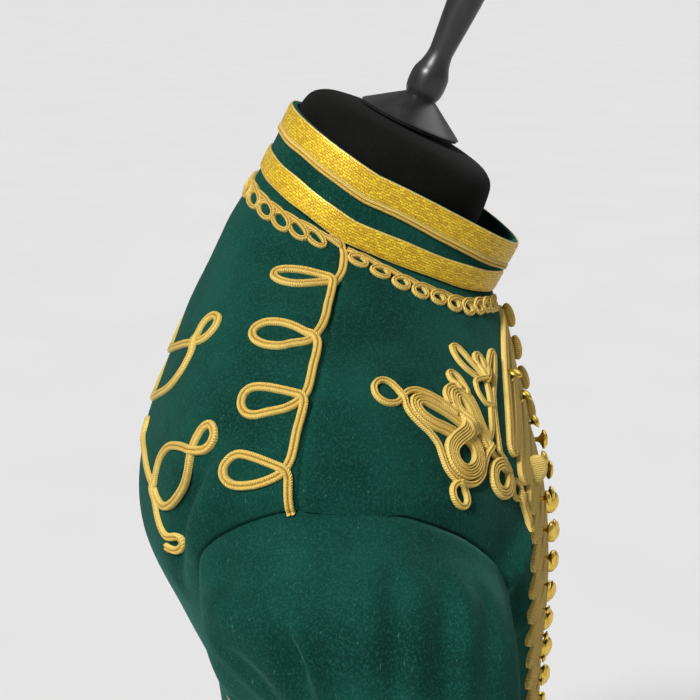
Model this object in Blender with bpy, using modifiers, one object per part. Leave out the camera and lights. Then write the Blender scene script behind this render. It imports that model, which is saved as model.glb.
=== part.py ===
# Hussar jacket on a limbless dress form.
# Metres, +Z up. The front faces -Y and the wearer's right side is at -X.
# The origin is the centre of the form's flat base on the ground.

import math
from collections import namedtuple

import bmesh
import bpy
import numpy as np
from mathutils import Vector
from mathutils.bvhtree import BVHTree

MM = 0.001
MERGE = 0.00001
COLLECTION_NAME = "hussar_jacket"

# Driving sizes, in millimetres
CLOTH = 2.2
SEAM = 0.3
LACE_WIDTH = 13.0
LACE_THICK = 1.2
COLLAR_THICK = 2.6
COLLAR_BACK = 40.5
COLLAR_FRONT = 31.0
COLLAR_SLOPE = 1.6
COLLAR_OPEN = 0.7
COLLAR_COLUMNS = 22
LACE_FOOT = 0.8
LACE_EDGE = 0.2
LINE_WIDTH = 3.3
LINE_THICK = 1.5
COLLAR_LEAN = 27.0
RIGHT = -1.0
LEFT = 1.0

# Rings of the body, from the neckline down to the hem, in millimetres.
# Forward is away from the wearer's back, and up is above the ground.
Ring = namedtuple(
    "Ring",
    "front_fwd front_up back_fwd back_up half_width side_fwd side_up front_power back_power",
)
BODY_RINGS = (
    Ring(80.8, 676.4, -50.0, 745.0, 64.0, -3.0, 714.0, 2.2, 2.1),
    Ring(87.5, 657.0, -66.0, 721.0, 86.5, -6.0, 697.5, 2.2, 2.1),
    Ring(91.0, 643.6, -73.5, 706.6, 113.5, -9.0, 684.0, 2.2, 2.1),
    Ring(93.5, 631.2, -81.5, 690.0, 142.5, -13.0, 668.9, 2.2, 2.15),
    Ring(98.0, 615.5, -92.0, 669.4, 165.5, -19.0, 650.5, 2.2, 2.2),
    Ring(101.5, 599.4, -100.0, 648.7, 181.5, -22.5, 631.5, 2.25, 2.25),
    Ring(105.5, 585.4, -107.5, 628.9, 188.5, -23.5, 613.5, 2.3, 2.3),
    Ring(109.5, 566.9, -117.5, 599.5, 185.5, -15.0, 586.5, 2.3, 2.3),
    Ring(112.5, 541.2, -120.5, 558.2, 177.5, -8.0, 551.5, 2.3, 2.2),
    Ring(113.5, 507.5, -103.5, 512.3, 166.5, -3.0, 511.5, 2.3, 2.05),
    Ring(111.5, 470.0, -85.0, 471.0, 159.5, 0.0, 471.5, 2.3, 2.0),
    Ring(110.5, 430.0, -78.0, 431.0, 153.5, 3.0, 431.5, 2.3, 2.0),
    Ring(102.0, 378.0, -72.0, 380.0, 145.5, 6.0, 381.5, 2.3, 2.1),
    Ring(94.0, 327.0, -70.0, 331.0, 141.5, 8.0, 331.5, 2.3, 2.2),
    Ring(96.0, 264.0, -80.0, 276.0, 149.5, 8.0, 278.5, 2.3, 2.2),
)
RING_HEM = float(len(BODY_RINGS) - 1)

# Side edges of the panels: the angle round the body, the ring at the edge, and the ring that the
# same row of the wall meets at the centre line.
Edge = namedtuple("Edge", "angle ring centre_ring")
SHOULDER_EDGE = (
    Edge(90.0, 0.0, 0.0),
    Edge(90.0, 1.0, 0.9),
    Edge(90.0, 2.0, 1.8),
    Edge(90.0, 3.0, 2.7),
    Edge(90.0, 4.0, 3.5),
    Edge(90.0, 5.0, 4.2),
)
FRONT_ARMHOLE = (
    Edge(90.0, 6.06, 4.9),
    Edge(84.0, 5.93, 5.15),
    Edge(78.0, 5.83, 5.35),
    Edge(71.5, 5.82, 5.6),
    Edge(65.5, 6.00, 5.9),
    Edge(60.5, 6.23, 6.15),
    Edge(56.5, 6.48, 6.4),
    Edge(53.2, 6.80, 6.75),
    Edge(50.0, 7.22, 7.25),
    Edge(48.5, 8.00, 7.95),
    Edge(51.0, 8.70, 8.6),
    Edge(59.0, 9.30, 9.2),
    Edge(73.0, 9.80, 9.7),
    Edge(90.0, 10.0, 10.1),
)
BACK_ARMHOLE = (
    Edge(90.0, 6.06, 5.3),
    Edge(96.0, 6.24, 5.7),
    Edge(103.0, 6.50, 6.1),
    Edge(110.0, 6.80, 6.5),
    Edge(116.0, 7.12, 6.95),
    Edge(120.0, 7.43, 7.4),
    Edge(122.0, 7.90, 7.9),
    Edge(123.5, 8.35, 8.35),
    Edge(122.5, 8.80, 8.8),
    Edge(116.0, 9.30, 9.3),
    Edge(105.0, 9.75, 9.75),
    Edge(90.0, 10.0, 10.1),
)
SIDE_EDGE = (
    Edge(90.0, 10.9, 10.9),
    Edge(90.0, 11.8, 11.8),
    Edge(90.0, 12.6, 12.6),
    Edge(90.0, 13.3, 13.3),
    Edge(90.0, 14.0, 14.0),
)
FRONT_COLUMNS = 8
BACK_COLUMNS = 7

# Rings of a sleeve, from its head to the cuff: the centre, the half depth fore and aft, the half
# width, and how far the outer side, the inner side and the front stand above the centre.
SleeveRing = namedtuple(
    "SleeveRing",
    "out fwd up half_depth half_width outer_rise inner_drop front_rise",
)
SLEEVE_RINGS = (
    SleeveRing(197.0, 6.0, 548.0, 72.0, 34.0, 38.0, 79.0, 2.0),
    SleeveRing(205.0, 25.5, 507.0, 55.5, 41.0, 28.0, 50.0, 2.0),
    SleeveRing(209.0, 30.0, 462.0, 53.0, 44.0, 16.0, 28.0, 4.0),
    SleeveRing(210.0, 32.0, 415.0, 51.0, 43.0, 8.0, 12.0, 2.0),
    SleeveRing(212.0, 27.0, 310.0, 49.0, 41.0, 2.0, 2.0, -4.0),
    SleeveRing(213.0, 36.0, 205.0, 43.0, 37.0, 0.0, 0.0, -2.0),
    SleeveRing(208.0, 68.0, 46.0, 34.0, 30.0, 0.0, 0.0, 6.0),
)
SLEEVE_HEAD_STEPS = 3
TOP_SLEEVE_FRONT = 9
TOP_SLEEVE_BACK = 8

# Rings of the dress form below the cloth, in the body's own columns
FORM_CLEAR = 7.0
FORM_RINGS = (
    Ring(112.0, 200.0, -104.0, 200.0, 150.0, 2.0, 200.0, 2.3, 2.3),
    Ring(116.0, 130.0, -116.0, 130.0, 154.0, 0.0, 130.0, 2.3, 2.3),
    Ring(114.0, 60.0, -116.0, 60.0, 152.0, 0.0, 60.0, 2.3, 2.3),
    Ring(108.0, 4.0, -110.0, 4.0, 146.0, 0.0, 4.0, 2.3, 2.3),
    Ring(104.0, 0.0, -106.0, 0.0, 142.0, 0.0, 0.0, 2.3, 2.3),
)
FORM_COLUMNS = 16
FORM_BODY_PLACES = (0.9, 2.5, 4.0, 6.0, 8.0, 10.0, 12.0, 14.0)
FORM_DROP_PLACE = 8.0
FORM_DROP_SPAN = 6.0

# Neck cap and finial, turned about axes that lean forward
CAP_TOP = (0.0, 32.4, 769.2)
CAP_LEAN = 26.5
FINIAL_LEAN = 24.3
NeckPoint = namedtuple("NeckPoint", "radius height")
CAP_PROFILE = (
    NeckPoint(0.0, 0.0),
    NeckPoint(31.0, -0.4),
    NeckPoint(46.0, -2.4),
    NeckPoint(52.8, -5.2),
    NeckPoint(56.8, -9.5),
    NeckPoint(58.7, -17.0),
    NeckPoint(59.6, -28.0),
    NeckPoint(58.5, -40.0),
    NeckPoint(54.0, -50.0),
    NeckPoint(0.0, -50.0),
)
FINIAL_PROFILE = (
    NeckPoint(0.0, 138.0),
    NeckPoint(6.0, 136.0),
    NeckPoint(9.5, 129.0),
    NeckPoint(10.8, 100.0),
    NeckPoint(9.2, 71.0),
    NeckPoint(7.2, 49.0),
    NeckPoint(6.9, 42.0),
    NeckPoint(8.2, 36.0),
    NeckPoint(10.2, 31.0),
    NeckPoint(10.7, 26.0),
    NeckPoint(10.3, 20.5),
    NeckPoint(8.9, 16.8),
    NeckPoint(27.8, 4.4),
    NeckPoint(29.3, 3.0),
    NeckPoint(28.6, 1.4),
    NeckPoint(0.0, 1.4),
)
CAP_SIDES = 20
FINIAL_SIDES = 12
TORSO_NECK = (NeckPoint(46.0, 0.0), NeckPoint(50.0, -1.5))

# Braids and cords: the width, the height, and the section from one edge to the other
TRIM_GAP = 0.5
Section = namedtuple("Section", "width height outline")
FLAT = ((-1.0, 0.0), (-0.7, 1.0), (0.7, 1.0), (1.0, 0.0))
CORD = Section(3.0, 2.3, ((-1.0, 0.0), (0.0, 1.0), (1.0, 0.0)))
BRAID = Section(4.8, 2.2, FLAT)
BAND = Section(11.5, 2.4, FLAT)
ROPES = Section(8.0, 2.9, ((-1.0, 0.0), (-0.6, 1.0), (0.0, 0.5), (0.6, 1.0), (1.0, 0.0)))
CHORD_ERROR = 0.7
FLATTEN = 5.0
LONGEST_SPAN = 22.0

# Shoulder braid: distances along the shoulder seam and behind it
SHOULDER_STRAND = (
    (16.5, 3.0),
    (28.0, 6.0),
    (42.0, 5.0),
    (56.0, 5.6),
    (72.0, 8.6),
    (84.0, 5.6),
    (98.0, 5.6),
    (112.0, 8.6),
    (126.0, 6.6),
    (140.0, 6.2),
    (150.0, 8.0),
    (156.0, 5.6),
    (166.0, 5.6),
)
ShoulderLoop = namedtuple("ShoulderLoop", "along behind reach drop width")
SHOULDER_LOOPS = (
    ShoulderLoop(27.0, 7.0, 33.0, 17.0, 10.0),
    ShoulderLoop(73.0, 9.0, 36.5, 18.5, 11.0),
    ShoulderLoop(112.0, 9.0, 31.0, 17.0, 11.5),
    ShoulderLoop(149.0, 9.0, 32.0, 12.5, 11.5),
)

# Row of eyes under the collar: the angle round the neck of each eye and its distance below the seam
NeckEye = namedtuple("NeckEye", "angle drop")
EYE_RADIUS = 4.2
EYE_SIDES = 6
BACK_EYE_STEP = 12.5
BACK_EYES = 13
BACK_EYE_DROP = 11.4
FRONT_EYES = (
    NeckEye(85.0, 8.0),
    NeckEye(77.8, 8.4),
    NeckEye(70.2, 9.0),
    NeckEye(62.8, 9.2),
    NeckEye(55.4, 9.6),
    NeckEye(48.0, 10.4),
    NeckEye(40.8, 10.6),
    NeckEye(33.6, 10.8),
    NeckEye(26.4, 10.4),
    NeckEye(19.2, 9.6),
)

# Figures of cord on the back, in distances out from the centre back and up above the ground
UPPER_BACK_HALF = (
    (1.5, 640.0),
    (30.0, 647.0),
    (62.0, 657.5),
    (84.0, 665.5),
    (96.0, 666.0),
    (100.5, 659.0),
    (98.5, 651.0),
    (87.0, 641.0),
    (58.0, 629.0),
    (27.0, 618.0),
    (1.5, 613.0),
)
UPPER_BACK_LOOP = ((95.5, 662.5), (98.5, 684.0))
LOWER_BACK_IN = (
    (60.0, 607.5),
    (77.0, 604.5),
    (95.0, 602.0),
    (111.0, 598.5),
    (127.0, 592.5),
    (142.0, 600.0),
    (151.0, 614.0),
    (152.5, 630.0),
    (153.5, 641.0),
)
LOWER_BACK_OUT = (
    (152.5, 642.0),
    (159.0, 638.5),
    (156.5, 631.0),
    (142.0, 628.0),
    (128.5, 623.0),
    (120.5, 613.0),
    (118.5, 600.0),
    (121.0, 588.0),
    (126.5, 578.5),
    (131.5, 575.0),
)
LOWER_BACK_EYES = ((56.0, 610.0), (134.5, 572.5))
BACK_LOOP_WIDTH = 10.0
BACK_EYE_LONG = 5.0
BACK_EYE_SHORT = 4.2

# Braid down each rear seam, as an angle round the body and two rings
REAR_SEAM_ANGLE = 139.0
REAR_SEAM_RINGS = (9.45, 13.93)
REAR_SEAM_STEPS = 41

# Knots on the chest, drawn in a flat frame: across towards the centre front, and up
Oval = namedtuple("Oval", "across up half_long half_short tilt section")
OUTER_KNOT_PLACE = (56.0, 3.9)
OUTER_KNOT = (
    Oval(-5.0, 13.5, 15.5, 8.0, -52.0, ROPES),
    Oval(20.0, 8.0, 13.5, 5.5, -85.0, ROPES),
    Oval(1.5, -11.0, 12.0, 10.0, 70.0, ROPES),
    Oval(-22.0, 33.0, 7.6, 6.0, 20.0, CORD),
    Oval(27.0, 24.5, 7.2, 4.2, -68.0, CORD),
    Oval(-10.7, -27.6, 7.2, 5.6, -60.0, CORD),
)
INNER_KNOT_PLACE = (40.0, 4.0)
INNER_KNOT = (
    Oval(-8.5, -21.0, 9.5, 7.5, 0.0, ROPES),
    Oval(4.5, -31.5, 6.5, 4.4, -15.0, CORD),
    Oval(12.5, 21.5, 7.0, 4.2, -60.0, CORD),
)
INNER_KNOT_STEM = ((18.0, 21.0), (12.0, 8.0), (4.0, 0.0), (-2.5, -14.5))
INNER_KNOT_TAIL = ((8.5, -33.0), (8.5, -43.0), (7.5, -53.0))
KNOT_LOOP_WIDTH = 5.5
INNER_KNOT_LOOPS = (
    ((18.5, 24.0), (14.5, 50.0)),
    ((20.0, 23.5), (29.5, 40.0)),
    ((18.5, 21.5), (47.0, 36.0)),
)

# Rows of braid across the front: how far each runs out and how far its end drops
Row = namedtuple("Row", "end droop")
ROW_TOP = 658.0
ROW_PITCH = 18.7
ROWS = (
    Row(101.0, 50.0),
    Row(101.0, 47.0),
    Row(102.0, 44.0),
    Row(103.0, 41.0),
    Row(104.0, 38.0),
    Row(105.0, 34.0),
    Row(104.0, 30.0),
    Row(101.0, 26.0),
    Row(97.0, 22.0),
    Row(93.0, 18.0),
    Row(88.0, 14.0),
    Row(84.0, 10.0),
    Row(80.0, 7.0),
    Row(76.0, 4.0),
    Row(73.0, 2.0),
    Row(71.0, 1.0),
    Row(70.0, 0.0),
    Row(70.0, 0.0),
    Row(72.0, 0.0),
)
ROW_BEND = 1.35
ROW_STATIONS = 7
OLIVET_ROWS = 4
BUTTON_SIDES = 5
INNER_BUTTONS = 0.46
OUTER_BUTTONS = 0.74
OUTER_BUTTON_ROW = 2
TurnPoint = namedtuple("TurnPoint", "radius height")
BUTTON_PROFILE = (TurnPoint(6.3, 2.0), TurnPoint(5.0, 6.6))
OLIVET_PROFILE = (TurnPoint(1.8, -7.0), TurnPoint(3.4, 0.0), TurnPoint(1.8, 7.0))
OLIVET_HEIGHT = 4.8

# Colours as seen, in linear light
GREEN = (0.010, 0.085, 0.062)
GOLD = (0.62, 0.42, 0.10)
LACE_GOLD = (0.75, 0.52, 0.06)
JERSEY = (0.012, 0.012, 0.012)
BLACK_WOOD = (0.015, 0.015, 0.015)


def clear_scene():
    for item in list(bpy.data.objects):
        bpy.data.objects.remove(item, do_unlink=True)


def material(name, colour, roughness, metallic):
    made = bpy.data.materials.new(name)
    made.use_nodes = True
    shader = made.node_tree.nodes["Principled BSDF"]
    shader.inputs["Base Color"].default_value = (*colour, 1.0)
    shader.inputs["Roughness"].default_value = roughness
    shader.inputs["Metallic"].default_value = metallic
    return made


def add_mesh(name, points, faces, finish, collection, side=None):
    """Adds a closed solid given in the wearer's frame (out, forward, up) in millimetres."""
    mirror = RIGHT if side is None else side
    mesh = bpy.data.meshes.new(name)
    corners = [(mirror * p[0] * MM, -p[1] * MM, p[2] * MM) for p in points]
    mesh.from_pydata(corners, [], faces)
    mesh.validate()
    shape = bmesh.new()
    shape.from_mesh(mesh)
    bmesh.ops.triangulate(shape, faces=shape.faces)
    bmesh.ops.recalc_face_normals(shape, faces=shape.faces)
    if shape.calc_volume(signed=True) < 0.0:
        bmesh.ops.reverse_faces(shape, faces=shape.faces)
    shape.to_mesh(mesh)
    shape.free()
    mesh.materials.append(finish)
    item = bpy.data.objects.new(name, mesh)
    collection.objects.link(item)
    mesh.shade_smooth()
    mesh.set_sharp_from_angle(angle=math.radians(40.0))
    return item


def blend_rows(rows, place):
    """Reads a smooth curve through the rows of a table at a fractional row number."""
    last = len(rows) - 1
    place = min(max(place, 0.0), float(last))
    low = min(int(place), last - 1)
    part = place - low
    before = np.array(rows[max(low - 1, 0)])
    start = np.array(rows[low])
    end = np.array(rows[low + 1])
    after = np.array(rows[min(low + 2, last)])
    slope_in = (end - before) * 0.5
    slope_out = (after - start) * 0.5
    gap = end - start
    return start + part * (
        slope_in + part * (3.0 * gap - 2.0 * slope_in - slope_out + part * (slope_in + slope_out - 2.0 * gap))
    )


def ring_point(row, angle):
    """A point of one ring. The angle runs from 0 at the centre front to 180 at the centre back."""
    cos = math.cos(math.radians(angle))
    sin = math.sin(math.radians(angle))
    front = cos >= 0.0
    power = 2.0 / (row[7] if front else row[8])
    shape = abs(cos) ** power
    end_fwd = row[0] if front else row[2]
    end_up = row[1] if front else row[3]
    out = row[4] * math.copysign(abs(sin) ** power, sin)
    fwd = row[5] + (end_fwd - row[5]) * shape
    up = row[6] + (end_up - row[6]) * shape
    return np.array((out, fwd, up))


def body_point(angle, ring):
    return ring_point(blend_rows(BODY_RINGS, ring), angle)


def unit(vector):
    return vector / max(np.linalg.norm(vector), 1e-9)


def body_normal(angle, ring):
    turn = 0.8
    step = 0.05
    low = max(ring - step, 0.0)
    high = min(ring + step, RING_HEM)
    round_body = body_point(angle + turn, ring) - body_point(angle - turn, ring)
    down_body = body_point(angle, high) - body_point(angle, low)
    return unit(np.cross(round_body, down_body))


def wall_solid(outer, inner, closed_round=False):
    """Joins two grids of points into one closed wall. Rows run down, columns run round."""
    rows = len(outer)
    columns = len(outer[0])
    points = [p for row in outer for p in row] + [p for row in inner for p in row]
    shift = rows * columns
    faces = []
    spans = columns if closed_round else columns - 1
    for i in range(rows - 1):
        for j in range(spans):
            k = (j + 1) % columns
            a, b, c, d = i * columns + j, i * columns + k, (i + 1) * columns + k, (i + 1) * columns + j
            faces.append((a, b, c, d))
            faces.append((d + shift, c + shift, b + shift, a + shift))
    for j in range(spans):
        k = (j + 1) % columns
        faces.append((j, j + shift, k + shift, k))
        a, b = (rows - 1) * columns + j, (rows - 1) * columns + k
        faces.append((a, b, b + shift, a + shift))
    if not closed_round:
        for i in range(rows - 1):
            a, b = i * columns, (i + 1) * columns
            faces.append((a, b, b + shift, a + shift))
            a, b = a + columns - 1, b + columns - 1
            faces.append((a, a + shift, b + shift, b))
    return points, faces


def pull_back(grid, distance):
    """Moves the border points of a grid inwards along the sheet, to leave a seam gap."""
    rows = len(grid)
    columns = len(grid[0])
    moved = [[p.copy() for p in row] for row in grid]
    for i in range(rows):
        moved[i][0] += unit(grid[i][1] - grid[i][0]) * distance
        moved[i][-1] += unit(grid[i][-2] - grid[i][-1]) * distance
    for j in range(columns):
        moved[0][j] += unit(grid[1][j] - grid[0][j]) * distance
        moved[-1][j] += unit(grid[-2][j] - grid[-1][j]) * distance
    return moved


def panel_grid(edges, columns, centre_angle):
    """Rows run from the centre line to the side edge, evenly in angle."""
    places = []
    for edge in edges:
        row = []
        for j in range(columns + 1):
            part = j / columns
            angle = centre_angle + (edge.angle - centre_angle) * part
            ring = edge.centre_ring + (edge.ring - edge.centre_ring) * part
            row.append((angle, ring))
        places.append(row)
    return places


def panel_wall(places):
    outer = [[body_point(*place) for place in row] for row in places]
    normals = [[body_normal(*place) for place in row] for row in places]
    outer = pull_back(outer, SEAM / 2.0)
    inner = [[p - n * CLOTH for p, n in zip(row, line)] for row, line in zip(outer, normals)]
    return wall_solid(outer, inner)


def build_fronts(collection, finish):
    edges = SHOULDER_EDGE + FRONT_ARMHOLE + SIDE_EDGE
    places = panel_grid(edges, FRONT_COLUMNS, 0.0)
    points, faces = panel_wall(places)
    add_mesh("front_left", points, faces, finish, collection, LEFT)
    return add_mesh("front_right", points, faces, finish, collection, RIGHT)


def build_back(collection, finish):
    edges = SHOULDER_EDGE + BACK_ARMHOLE + SIDE_EDGE
    half = panel_grid(edges, BACK_COLUMNS, 180.0)
    places = []
    for row in half:
        right = list(reversed(row))
        left = [(360.0 - angle, ring) for angle, ring in row[1:]]
        places.append(right + left)
    points, faces = panel_wall(places)
    return add_mesh("back", points, faces, finish, collection)


def armhole_places():
    """The armhole from the shoulder point down the front to the underarm and up the back."""
    front = [(edge.angle, edge.ring) for edge in FRONT_ARMHOLE]
    back = [(edge.angle, edge.ring) for edge in BACK_ARMHOLE]
    return front + list(reversed(back[1:-1]))


def armhole_turns(points, front_count):
    """Angles round the sleeve: 0 at the shoulder, 90 in front, 180 at the underarm."""
    count = len(points)
    lengths = [0.0]
    for i in range(count):
        lengths.append(lengths[-1] + np.linalg.norm(points[(i + 1) % count] - points[i]))
    front_length = lengths[front_count]
    turns = []
    for i in range(count):
        if i <= front_count:
            turns.append(180.0 * lengths[i] / front_length)
        else:
            turns.append(180.0 + 180.0 * (lengths[i] - front_length) / (lengths[-1] - front_length))
    return turns


def sleeve_ring_point(row, turn):
    cos = math.cos(math.radians(turn))
    sin = math.sin(math.radians(turn))
    out = row.out + row.half_width * cos
    fwd = row.fwd + row.half_depth * sin
    rise = row.outer_rise if cos > 0.0 else row.inner_drop
    up = row.up + rise * cos + row.front_rise * sin
    return np.array((out, fwd, up))


def hermite(start, end, leave, arrive, part):
    square = part * part
    cube = square * part
    keep = 2.0 * cube - 3.0 * square + 1.0
    out_of = cube - 2.0 * square + part
    into = cube - square
    return start * keep + end * (1.0 - keep) + leave * out_of + arrive * into


def sleeve_column(first, leave, turn):
    """Points down one line of the sleeve, from the armhole to the cuff."""
    stops = [first] + [sleeve_ring_point(row, turn) for row in SLEEVE_RINGS]
    reach = np.linalg.norm(stops[1] - stops[0])
    slopes = [leave * reach * 0.9]
    for i in range(1, len(stops) - 1):
        slopes.append((stops[i + 1] - stops[i - 1]) * 0.5)
    slopes.append(stops[-1] - stops[-2])
    column = []
    for i in range(len(stops) - 1):
        steps = SLEEVE_HEAD_STEPS if i == 0 else 1
        for step in range(steps):
            column.append(hermite(stops[i], stops[i + 1], slopes[i], slopes[i + 1], step / steps))
    column.append(stops[-1])
    return column


def sleeve_grid():
    """Columns go round from the shoulder over the front, and rows go down to the cuff."""
    places = armhole_places()
    start = [body_point(*place) for place in places]
    normals = [body_normal(*place) for place in places]
    count = len(start)
    turns = armhole_turns(start, len(FRONT_ARMHOLE) - 1)
    middle = sum(start) / count
    columns = []
    for i in range(count):
        along = unit(start[(i + 1) % count] - start[i - 1])
        away = unit(np.cross(along, normals[i]))
        if np.dot(away, middle - start[i]) < 0.0:
            away = -away
        under = (1.0 - math.cos(math.radians(turns[i]))) / 2.0
        lift = 0.3 + 0.7 * under
        leave = unit(away * (1.0 - lift) + normals[i] * lift)
        first = start[i] + away * SEAM + leave * 0.1
        columns.append(sleeve_column(first, leave, turns[i]))
    return [list(row) for row in zip(*columns)]


def grid_normals(grid):
    """Outward normals of a closed tube of points."""
    rows = len(grid)
    columns = len(grid[0])
    normals = []
    for i in range(rows):
        line = []
        for j in range(columns):
            round_tube = grid[i][(j + 1) % columns] - grid[i][j - 1]
            down = grid[min(i + 1, rows - 1)][j] - grid[max(i - 1, 0)][j]
            line.append(unit(np.cross(down, round_tube)))
        normals.append(line)
    return normals


def build_sleeves(collection, finish):
    outer = sleeve_grid()
    normals = grid_normals(outer)
    count = len(outer[0])
    middle = sum(outer[6]) / count
    if np.dot(normals[6][0], outer[6][0] - middle) < 0.0:
        normals = [[-n for n in line] for line in normals]
    inner = [[p - n * CLOTH for p, n in zip(row, line)] for row, line in zip(outer, normals)]
    back_start = count - TOP_SLEEVE_BACK
    top = [j % count for j in range(back_start, count + TOP_SLEEVE_FRONT + 1)]
    under = list(range(TOP_SLEEVE_FRONT, back_start + 1))
    for name, chosen in (("top_sleeve", top), ("under_sleeve", under)):
        shell = []
        for grid in (outer, inner):
            part = [[row[j].copy() for j in chosen] for row in grid]
            for row in part:
                row[0] = row[0] + unit(row[1] - row[0]) * SEAM / 2.0
                row[-1] = row[-1] + unit(row[-2] - row[-1]) * SEAM / 2.0
            shell.append(part)
        points, faces = wall_solid(shell[0], shell[1])
        add_mesh(name + "_right", points, faces, finish, collection, RIGHT)
        add_mesh(name + "_left", points, faces, finish, collection, LEFT)


def collar_axis():
    lean = math.radians(COLLAR_LEAN)
    return np.array((0.0, math.sin(lean), math.cos(lean)))


def collar_angles():
    span = 360.0 - 2.0 * COLLAR_OPEN
    return [COLLAR_OPEN + span * j / COLLAR_COLUMNS for j in range(COLLAR_COLUMNS + 1)]


def collar_height(angle):
    return COLLAR_BACK + (COLLAR_FRONT - COLLAR_BACK) * max(math.cos(math.radians(angle)), 0.0) ** COLLAR_SLOPE


def collar_normal(angle):
    ahead = body_point(angle + 1.0, 0.0)
    behind = body_point(angle - 1.0, 0.0)
    outward = unit(np.cross(collar_axis(), ahead - behind))
    centre = body_point(90.0, 0.0) * np.array((0.0, 1.0, 1.0))
    if np.dot(outward, body_point(angle, 0.0) - centre) < 0.0:
        outward = -outward
    return outward


def collar_point(angle, rise, proud):
    return body_point(angle, 0.0) + collar_axis() * rise + collar_normal(angle) * proud


def collar_band(low, high, inner, outer):
    """A wall round the collar between two heights, given as functions of the angle."""
    angles = collar_angles()
    outside = []
    inside = []
    for level in (high, low):
        outside.append([collar_point(a, level(a), outer) for a in angles])
        inside.append([collar_point(a, level(a), inner) for a in angles])
    return wall_solid(outside, inside)


def lace_foot(angle):
    """Where the lace along the top edge ends below."""
    return collar_height(angle) - LACE_WIDTH


def build_collar(collection, cloth, lace, braid):
    def wall(name, low, high, inner, thick, finish):
        points, faces = collar_band(low, high, inner, inner + thick)
        add_mesh(name, points, faces, finish, collection)

    wall("collar", lambda a: SEAM, collar_height, -COLLAR_THICK, COLLAR_THICK, cloth)
    wall("collar_lace_bottom", lambda a: LACE_FOOT, lambda a: LACE_FOOT + LACE_WIDTH, SEAM, LACE_THICK, lace)
    wall("collar_lace_top", lace_foot, lambda a: collar_height(a) - LACE_EDGE, SEAM, LACE_THICK, lace)
    line_top = lambda a: lace_foot(a) - SEAM
    wall("collar_braid_line", lambda a: line_top(a) - LINE_WIDTH, line_top, SEAM, LINE_THICK, braid)


def form_rings():
    """The form's outline inside the cloth, then its own rings down to the base."""
    rings = []
    for place in FORM_BODY_PLACES:
        row = list(blend_rows(BODY_RINGS, place))
        inset = FORM_CLEAR + CLOTH
        row[0] -= inset
        row[2] += inset
        row[4] -= inset
        drop = inset * max(0.0, (FORM_DROP_PLACE - place) / FORM_DROP_SPAN)
        row[1] -= drop
        row[3] -= drop
        row[6] -= drop
        rings.append(row)
    return rings + [list(row) for row in FORM_RINGS]


def build_form_torso(collection, finish):
    angles = [360.0 * j / FORM_COLUMNS for j in range(FORM_COLUMNS)]
    base = CAP_PROFILE[-1].height - SEAM
    rows = [[neck_point(base + spot.height, spot.radius, angle) for angle in angles] for spot in TORSO_NECK]
    rows += [[ring_point(row, angle) for angle in angles] for row in form_rings()]
    points = [p for row in rows for p in row]
    faces = []
    for i in range(len(rows) - 1):
        high = i * FORM_COLUMNS
        low = high + FORM_COLUMNS
        for j in range(FORM_COLUMNS):
            k = (j + 1) % FORM_COLUMNS
            faces.append((high + j, high + k, low + k, low + j))
    faces.append(tuple(range(FORM_COLUMNS)))
    last = (len(rows) - 1) * FORM_COLUMNS
    faces.append(tuple(last + j for j in reversed(range(FORM_COLUMNS))))
    add_mesh("form_torso", points, faces, finish, collection)


def neck_point(height, radius, angle):
    """A point round the neck's leaning axis, at a height above the top of the cap."""
    lean = math.radians(CAP_LEAN)
    turn = math.radians(angle)
    axis = np.array((0.0, math.sin(lean), math.cos(lean)))
    forward = np.array((0.0, math.cos(lean), -math.sin(lean)))
    outward = np.array((1.0, 0.0, 0.0))
    return np.array(CAP_TOP) + axis * height + (forward * math.cos(turn) + outward * math.sin(turn)) * radius


def turned_solid(name, profile, sides, lean, finish, collection):
    """A profile, from the top down its outer side, turned round a leaning axis."""
    mesh = bpy.data.meshes.new(name)
    corners = [(spot.radius * MM, 0.0, spot.height * MM) for spot in profile]
    mesh.from_pydata(corners, [(i, i + 1) for i in range(len(corners) - 1)], [])
    mesh.materials.append(finish)
    item = bpy.data.objects.new(name, mesh)
    item.location = (CAP_TOP[0] * MM, -CAP_TOP[1] * MM, CAP_TOP[2] * MM)
    item.rotation_euler = (math.radians(lean), 0.0, 0.0)
    collection.objects.link(item)
    turn = item.modifiers.new("turn", "SCREW")
    turn.axis = "Z"
    turn.steps = sides
    turn.render_steps = sides
    turn.use_merge_vertices = True
    turn.merge_threshold = MERGE
    turn.use_smooth_shade = True


def smooth_line(stops, closed, step):
    """Reads a smooth line through flat stops, about every step millimetres."""
    stops = [np.array(stop, dtype=float) for stop in stops]
    count = len(stops)
    spans = count if closed else count - 1
    line = []
    for i in range(spans):
        start = stops[i]
        end = stops[(i + 1) % count]
        before = stops[i - 1] if closed or i > 0 else start * 2.0 - end
        after = stops[(i + 2) % count] if closed or i + 2 < count else end * 2.0 - start
        pieces = max(1, int(round(np.linalg.norm(end - start) / step)))
        for k in range(pieces):
            line.append(hermite(start, end, (end - before) * 0.5, (after - start) * 0.5, k / pieces))
    if not closed:
        line.append(stops[-1])
    return line


RAY_START = 12.0


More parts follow.
